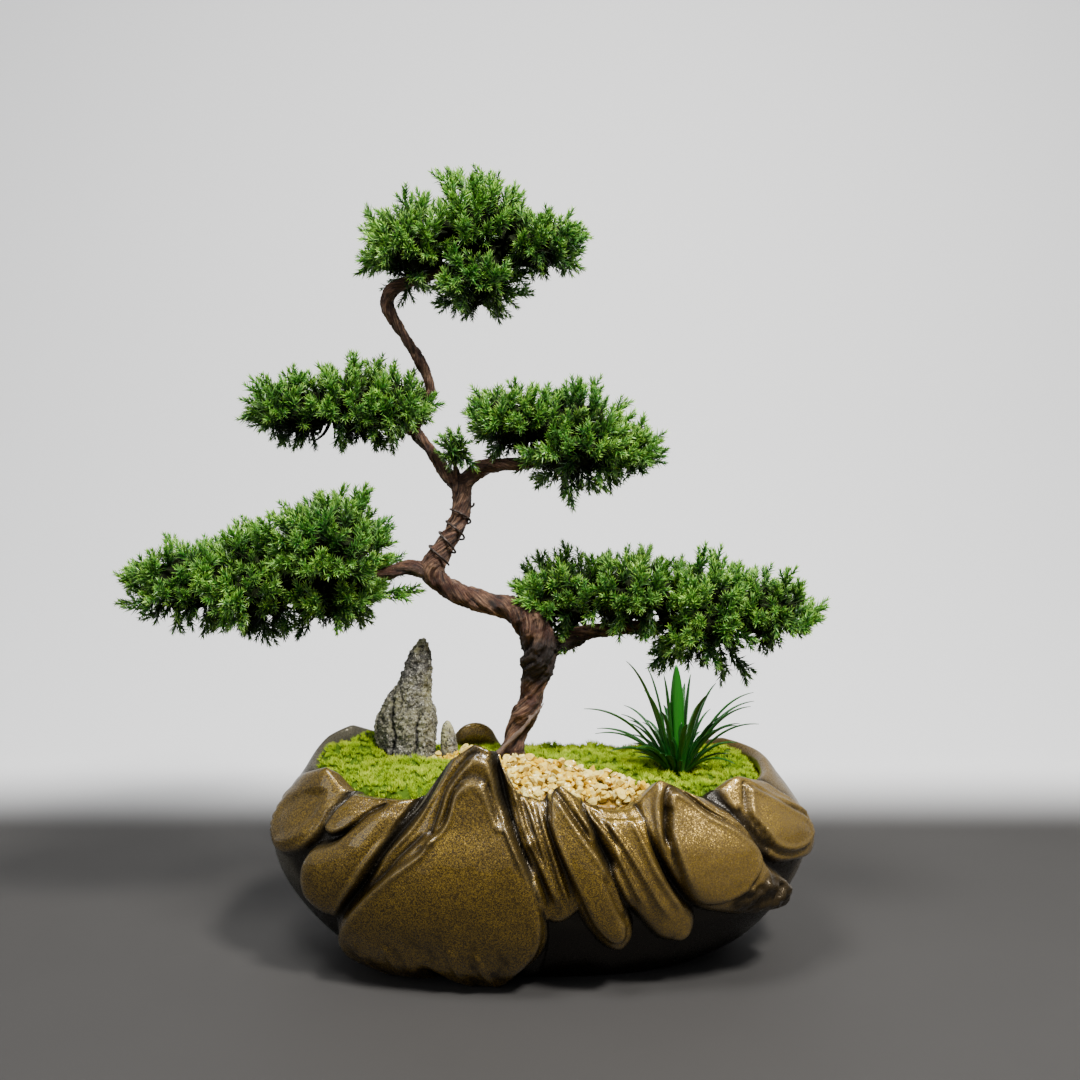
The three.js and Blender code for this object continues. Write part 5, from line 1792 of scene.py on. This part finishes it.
def make_blade(tip, width, fresh):
    """Arching blade folded along its middle, as a bmesh with its masks"""
    crown = Vector(CROWN)
    end = Vector(tip)
    out = (end - crown) * Vector((1, 1, 0))
    reach = out.length
    foot = crown + out * (min(0.6 * CROWN_RADIUS, 0.4 * reach) / max(reach, 1)) - UP * BLADE_SINK
    bend = foot.lerp(end, BEND_AT)
    bend.z = foot.z + (end.z - foot.z) * BEND_RISE + reach * BEND_LIFT
    across = Vector((-out.y, out.x, 0)).normalized() if reach > 0.5 else Vector((1, 0, 0))
    blade = bmesh.new()
    grain = blade.verts.layers.float_vector.new("grain")
    along = blade.verts.layers.float.new("along")
    freshness = blade.verts.layers.float.new("fresh")
    bmesh.ops.create_grid(blade, x_segments=BLADE_COLUMNS, y_segments=BLADE_STEPS, size=0.5)
    for vert in blade.verts:
        side, t = 2 * vert.co.x, vert.co.y + 0.5
        place = foot.lerp(bend, t).lerp(bend.lerp(end, t), t)
        tangent = (bend - foot).lerp(end - bend, t).normalized()
        back = tangent.cross(across).normalized()
        taper = max(0.03, math.sin(math.pi * (0.2 + 0.79 * t)) ** 0.8)
        half = 0.5 * width * taper
        fold = (0.35 - abs(side) * 0.7) * half
        vert[grain] = Vector((side * half * 3, 0, t * 40))
        vert[along] = t
        vert[freshness] = fresh
        vert.co = (place + across * (side * half) - back * fold) * MM
    bmesh.ops.recalc_face_normals(blade, faces=blade.faces)
    bmesh.ops.solidify(blade, geom=blade.faces, thickness=BLADE_THICKNESS * MM)
    bmesh.ops.recalc_face_normals(blade, faces=blade.faces)
    return blade


class BONSAI_OT_grass(Operator):
    """Builds the clump of grass"""

    bl_idname = "bonsai.add_grass"
    bl_label = "Add grass"

    def execute(self, context):
        grass = context.scene.bonsai.grass
        draw = random.Random(77)
        whole = bmesh.new()
        whole.verts.layers.float_vector.new("grain")
        whole.verts.layers.float.new("along")
        whole.verts.layers.float.new("fresh")
        pour(make_blade(BROAD_BLADE_TIP, grass.broad_width / MM, 0.95), whole)
        for tip in BLADE_TIPS:
            width = grass.width / MM * draw.uniform(0.85, 1.3)
            pour(make_blade(tip, width, draw.uniform(0, 0.45)), whole)
        for _ in range(grass.short_blades):
            around = draw.uniform(0, math.tau)
            reach = draw.uniform(8, 42)
            tip = (CROWN[0] + reach * math.cos(around), CROWN[1] + 0.8 * reach * math.sin(around),
                   CROWN[2] + draw.uniform(8, 40))
            pour(make_blade(tip, grass.width / MM * draw.uniform(0.8, 1.15), draw.uniform(0, 0.2)), whole)
        finish = make_blade_finish(grass)
        finish_piece(whole, "grass_blades", "grass_clump", [finish], smooth=True)
        return {"FINISHED"}


# Moss and gravel


def make_tuft(name, seed, moss):
    """Pattern mesh, in millimetres, of a star of moss spikes"""
    draw = random.Random(seed)
    shape = bmesh.new()
    tip = shape.verts.layers.float.new("tip")
    spike = moss.spike / MM
    for direction in even_directions(TUFT_DIRECTIONS, draw):
        if direction.z < 0.1:
            continue
        heading = (direction + UP * 0.9).normalized()
        reach = spike * draw.uniform(0.75, 1.2)
        placed = Matrix.Translation(heading * (reach * 0.42)) @ aim(heading, draw.uniform(0, math.tau))
        verts = bmesh.ops.create_cone(
            shape, cap_ends=True, segments=3, radius1=SPIKE_RADIUS, radius2=0, depth=reach, matrix=placed
        )["verts"]
        for vert in verts:
            vert[tip] = max(0.0, min(1.0, vert.co.dot(heading) / reach))
    return cast(shape, name)


def scatter(skin, spacing, draw, least_rise):
    """Places and normals spread over the faces of a skin that look up"""
    found = []
    for face in skin.faces:
        if face.normal.z < least_rise:
            continue
        expected = face.calc_area() / spacing**2
        while expected > 0:
            if draw.random() < expected:
                a, b, c = (face.verts[i].co for i in draw.sample(range(len(face.verts)), 3))
                s, t = sorted((draw.random(), draw.random()))
                found.append((a * s + b * (t - s) + c * (1 - t), face.normal.copy()))
            expected -= 1
    return found


class BONSAI_OT_moss(Operator):
    """Builds the moss cushions"""

    bl_idname = "bonsai.add_moss"
    bl_label = "Add moss"

    def execute(self, context):
        moss = context.scene.bonsai.moss
        finish = make_moss_finish(moss)
        tufts = [make_tuft(f"tuft_{k}", 20 + k, moss) for k in range(TUFT_KINDS)]
        for i, node in enumerate(("moss_left", "moss_back", "moss_right", "moss_far_right")):
            draw = random.Random(900 + i)
            skin = make_skin(copy_solid(node), moss.skin, 3)
            places, normals = places_of(skin)
            lumps = wavy(places * (1, 1, 0), 0.06, 5.0) + 0.7 * wavy(places * (1, 1, 0), 0.14, 2.0)
            raised = moss.lump / MM * (lumps - 0.35)
            for x, y, radius, rise in MOSS_KNOLLS:
                distance = np.hypot(places[:, 0] - x, places[:, 1] - y)
                raised += rise * np.exp(-((distance / radius) ** 2))
            raised *= np.clip(normals[:, 2], 0, 1)
            move_to(skin, places + normals * raised[:, None])
            skin.normal_update()
            whole = bmesh.new()
            for label in ("tip", "tone"):
                whole.verts.layers.float.new(label)
            for spot, normal in scatter(skin, moss.tuft_spacing, draw, -0.4):
                clump = 0.5 + 0.5 * noise.noise(spot / MM * 0.09)
                heading = (normal * 0.6 + UP * 0.5).normalized()
                scale = MM * draw.uniform(0.75, 1.15) * (0.8 + 0.4 * clump)
                matrix = Matrix.Translation(spot) @ aim(heading, draw.uniform(0, math.tau))
                matrix @= Matrix.Scale(scale, 4)
                tone = min(1.0, max(0.0, 1.5 * clump - 0.35 + draw.uniform(-0.25, 0.25)))
                add_copy(whole, draw.choice(tufts), matrix, tone=tone)
            pour(skin, whole)
            finish_piece(whole, node.replace("moss", "cushion"), node, [finish])
        for tuft in tufts:
            bpy.data.meshes.remove(tuft)
        return {"FINISHED"}


def make_chip(name, seed):
    """Pattern mesh of a broken quartz chip of radius 1, cut flat on several sides"""
    draw = random.Random(seed)
    chip = bmesh.new()
    bmesh.ops.create_icosphere(chip, subdivisions=2, radius=1)
    for _ in range(CHIP_CUTS):
        normal = Vector([draw.gauss(0, 1) for _ in range(3)]).normalized()
        cut = bmesh.ops.bisect_plane(
            chip, geom=chip.verts[:] + chip.edges[:] + chip.faces[:],
            plane_co=normal * draw.uniform(0.3, 0.7), plane_no=normal, clear_outer=True,
        )
        edges = [part for part in cut["geom_cut"] if isinstance(part, bmesh.types.BMEdge)]
        if edges:
            bmesh.ops.holes_fill(chip, edges=edges, sides=0)
    bmesh.ops.dissolve_limit(chip, angle_limit=0.25, verts=chip.verts, edges=chip.edges)
    bmesh.ops.triangulate(chip, faces=chip.faces)
    bmesh.ops.scale(chip, verts=chip.verts,
                    vec=(draw.uniform(0.9, 1.25), draw.uniform(0.8, 1.1), draw.uniform(0.6, 0.85)))
    return cast(chip, name)


class BONSAI_OT_gravel(Operator):
    """Builds the stream of quartz gravel"""

    bl_idname = "bonsai.add_gravel"
    bl_label = "Add gravel"

    def execute(self, context):
        gravel = context.scene.bonsai.gravel
        draw = random.Random(61)
        chips = [make_chip(f"chip_{k}", 300 + k) for k in range(CHIP_KINDS)]
        skin = make_skin(copy_solid("gravel"), gravel.skin, 1)
        skin.normal_update()
        whole = bmesh.new()
        for label in ("tone", "inner"):
            whole.verts.layers.float.new(label)
        for layer in range(gravel.layers):
            share = (layer + 1) / gravel.layers
            spots = scatter(skin, CHIP_GAP * gravel.chip, draw, 0.1)
            sides = scatter(skin, FRONT_CHIP_GAP * gravel.chip, draw, -0.3)
            spots += [(spot, normal) for spot, normal in sides if spot.y < SPILL_FROM_Y * MM]
            places = np.array([spot for spot, _ in spots]) / MM
            inside = inside_distance(places[:, 0], places[:, 1], STREAM)
            heap = STREAM_HEAP * MM * smoothstep(inside, -2, 6)
            for (spot, normal), rise, edge in zip(spots, heap, inside):
                if layer and edge < 2.5 * layer:
                    continue
                radius = gravel.chip * draw.uniform(0.7, 1.4)
                lift = UP * (rise * share + radius * draw.uniform(-0.2, 0.3))
                if edge < STREAM_SPILL and spot.y < SPILL_FROM_Y * MM:
                    lift += Vector((0, -draw.uniform(0, STREAM_SPILL) * MM, 2.5 * MM))
                matrix = Matrix.Translation(spot + lift) @ aim(normal, draw.uniform(0, math.tau))
                matrix @= Matrix.Rotation(draw.uniform(-3, 3), 4, "X") @ Matrix.Scale(radius, 4)
                amber = noise.noise(spot / MM * 0.07) * 0.6 + 0.58
                tone = min(1.0, max(0.0, draw.gauss(amber, 0.35)))
                add_copy(whole, draw.choice(chips), matrix, tone=tone, inner=0.45 * (1 - share))
        bed = cast(skin, "bed")
        add_copy(whole, bed, Matrix.Identity(4), tone=0.7, inner=0.95)
        bpy.data.meshes.remove(bed)
        finish = make_gravel_finish(gravel)
        finish_piece(whole, "quartz_stream", "gravel", [finish])
        for chip in chips:
            bpy.data.meshes.remove(chip)
        return {"FINISHED"}


class BONSAI_OT_ground(Operator):
    """Finishes the soil and the drain screens"""

    bl_idname = "bonsai.finish_ground"
    bl_label = "Finish soil and screens"

    def execute(self, context):
        ground = context.scene.bonsai.ground
        soil = make_soil_finish(ground)
        plastic = make_screen_finish(ground)
        finishes = {"soil": soil, "drain_screen_left": plastic, "drain_screen_right": plastic}
        for node, finish in finishes.items():
            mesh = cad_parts[node].data
            mesh.materials.clear()
            mesh.materials.append(finish)
        return {"FINISHED"}


# Stage


def make_stage_finish(stage):
    """Matt paint that fades from the dark floor to the pale backdrop; the backdrop also glows as painted
    light, and looks dimmer in reflections
    """
    material, tree = start_material("matt_paint_with_glow", Roughness=0.7, Emission_Strength=0.3)
    depth = add_node(tree, "ShaderNodeSeparateXYZ", {0: object_place(tree)}).outputs["Y"]
    marks = add_mottle(tree, scale=3.0, low=0.2, high=0.8)
    far = spread(tree, depth, FLOOR_FADE_FROM, FLOOR_FADE_TO)
    mirrored = add_node(tree, "ShaderNodeLightPath").outputs["Is Glossy Ray"]
    dimmed = calculate(tree, "MULTIPLY", mirrored, MIRROR_DIMMING)
    far = calculate(tree, "MULTIPLY", far, calculate(tree, "SUBTRACT", 1.0, dimmed))
    near = blend(tree, marks["Mask"], stage.floor, lit(stage.floor, 1.15))
    # Painted light: the backdrop glows though it is no lamp
    glow = blend(tree, far, (0.0, 0.0, 0.0, 1.0), stage.wall)
    return finish_material(material, Base_Color=blend(tree, far, near, stage.wall), Emission_Color=glow)


def make_backdrop_shape():
    """Floor that bends up into the backdrop, just under the pot"""
    floor = bmesh.new()
    bend = BACKDROP_BEND
    flat_to = BACKDROP_DEPTH - bend
    profile = [(-3.0, 0.0), (flat_to, 0.0)]
    for angle in np.linspace(0.1, math.pi / 2, 15):
        profile.append((flat_to + bend * math.sin(angle), bend - bend * math.cos(angle)))
    profile.append((BACKDROP_DEPTH, BACKDROP_HEIGHT))
    line = [floor.verts.new((-4.0, y, z - 0.0002)) for y, z in profile]
    edges = [floor.edges.new(pair) for pair in zip(line, line[1:])]
    grown = bmesh.ops.extrude_edge_only(floor, edges=edges)["geom"]
    moved = [part for part in grown if isinstance(part, bmesh.types.BMVert)]
    bmesh.ops.translate(floor, verts=moved, vec=(8.0, 0, 0))
    bmesh.ops.recalc_face_normals(floor, faces=floor.faces)
    return floor


def add_light(name, place, target, width, power, tint):
    """Soft square light that looks at a point"""
    data = bpy.data.lights.new(name, "AREA")
    data.size = width
    data.energy = power
    data.color = tint
    light = add_object(name, data)
    light.location = place
    light.rotation_euler = (Vector(target) - Vector(place)).to_track_quat("-Z", "Y").to_euler()


class BONSAI_OT_stage(Operator):
    """Adds the floor, the lights and the camera"""

    bl_idname = "bonsai.add_stage"
    bl_label = "Add stage"

    def execute(self, context):
        stage = context.scene.bonsai.stage
        mesh = cast(make_backdrop_shape(), "floor")
        mesh.shade_smooth()
        mesh.materials.append(make_stage_finish(stage))
        add_object("floor", mesh)
        for light in LIGHTS:
            add_light(*light)
        world = bpy.data.worlds.new("studio")
        world.use_nodes = True
        background = world.node_tree.nodes["Background"]
        background.inputs["Color"].default_value = SKY_COLOUR
        background.inputs["Strength"].default_value = SKY_STRENGTH
        context.scene.world = world
        data = bpy.data.cameras.new("camera")
        data.sensor_width = SENSOR_WIDTH
        data.lens = FOCAL_LENGTH
        data.clip_start = 0.01
        camera = add_object("camera", data)
        camera.location = (0, -stage.camera_distance, stage.camera_height)
        camera.rotation_euler = (math.radians(CAMERA_TILT), 0, 0)
        context.scene.camera = camera
        return {"FINISHED"}


class BONSAI_PT_panel(Panel):
    """Lists the parts of the bonsai"""

    bl_idname = "BONSAI_PT_panel"
    bl_label = "Juniper bonsai"
    bl_space_type = "VIEW_3D"
    bl_region_type = "UI"
    bl_category = "Bonsai"

    def draw(self, context):
        for operator in OPERATORS:
            self.layout.operator(operator.bl_idname)


SETTINGS = (
    PotSettings, WoodSettings, WireSettings, FoliageSettings, StoneSettings, GrassSettings,
    MossSettings, GravelSettings, GroundSettings, StageSettings, BonsaiSettings,
)
OPERATORS = (
    BONSAI_OT_pot, BONSAI_OT_wood, BONSAI_OT_wire, BONSAI_OT_foliage, BONSAI_OT_stones,
    BONSAI_OT_grass, BONSAI_OT_moss, BONSAI_OT_gravel, BONSAI_OT_ground, BONSAI_OT_stage,
)


def register():
    for kind in (*SETTINGS, *OPERATORS, BONSAI_PT_panel):
        bpy.utils.register_class(kind)
    bpy.types.Scene.bonsai = PointerProperty(type=BonsaiSettings)


def unregister():
    del bpy.types.Scene.bonsai
    for kind in (BONSAI_PT_panel, *reversed(OPERATORS), *reversed(SETTINGS)):
        bpy.utils.unregister_class(kind)


def main():
    register()
    make_mottle()
    make_flecks()
    make_fibres()
    bpy.ops.bonsai.add_pot()
    bpy.ops.bonsai.add_wood()
    bpy.ops.bonsai.add_wire()
    bpy.ops.bonsai.add_foliage()
    bpy.ops.bonsai.add_stones()
    bpy.ops.bonsai.add_grass()
    bpy.ops.bonsai.add_moss()
    bpy.ops.bonsai.add_gravel()
    bpy.ops.bonsai.finish_ground()
    bpy.ops.bonsai.add_stage()


if __name__ == "__main__":
    main()
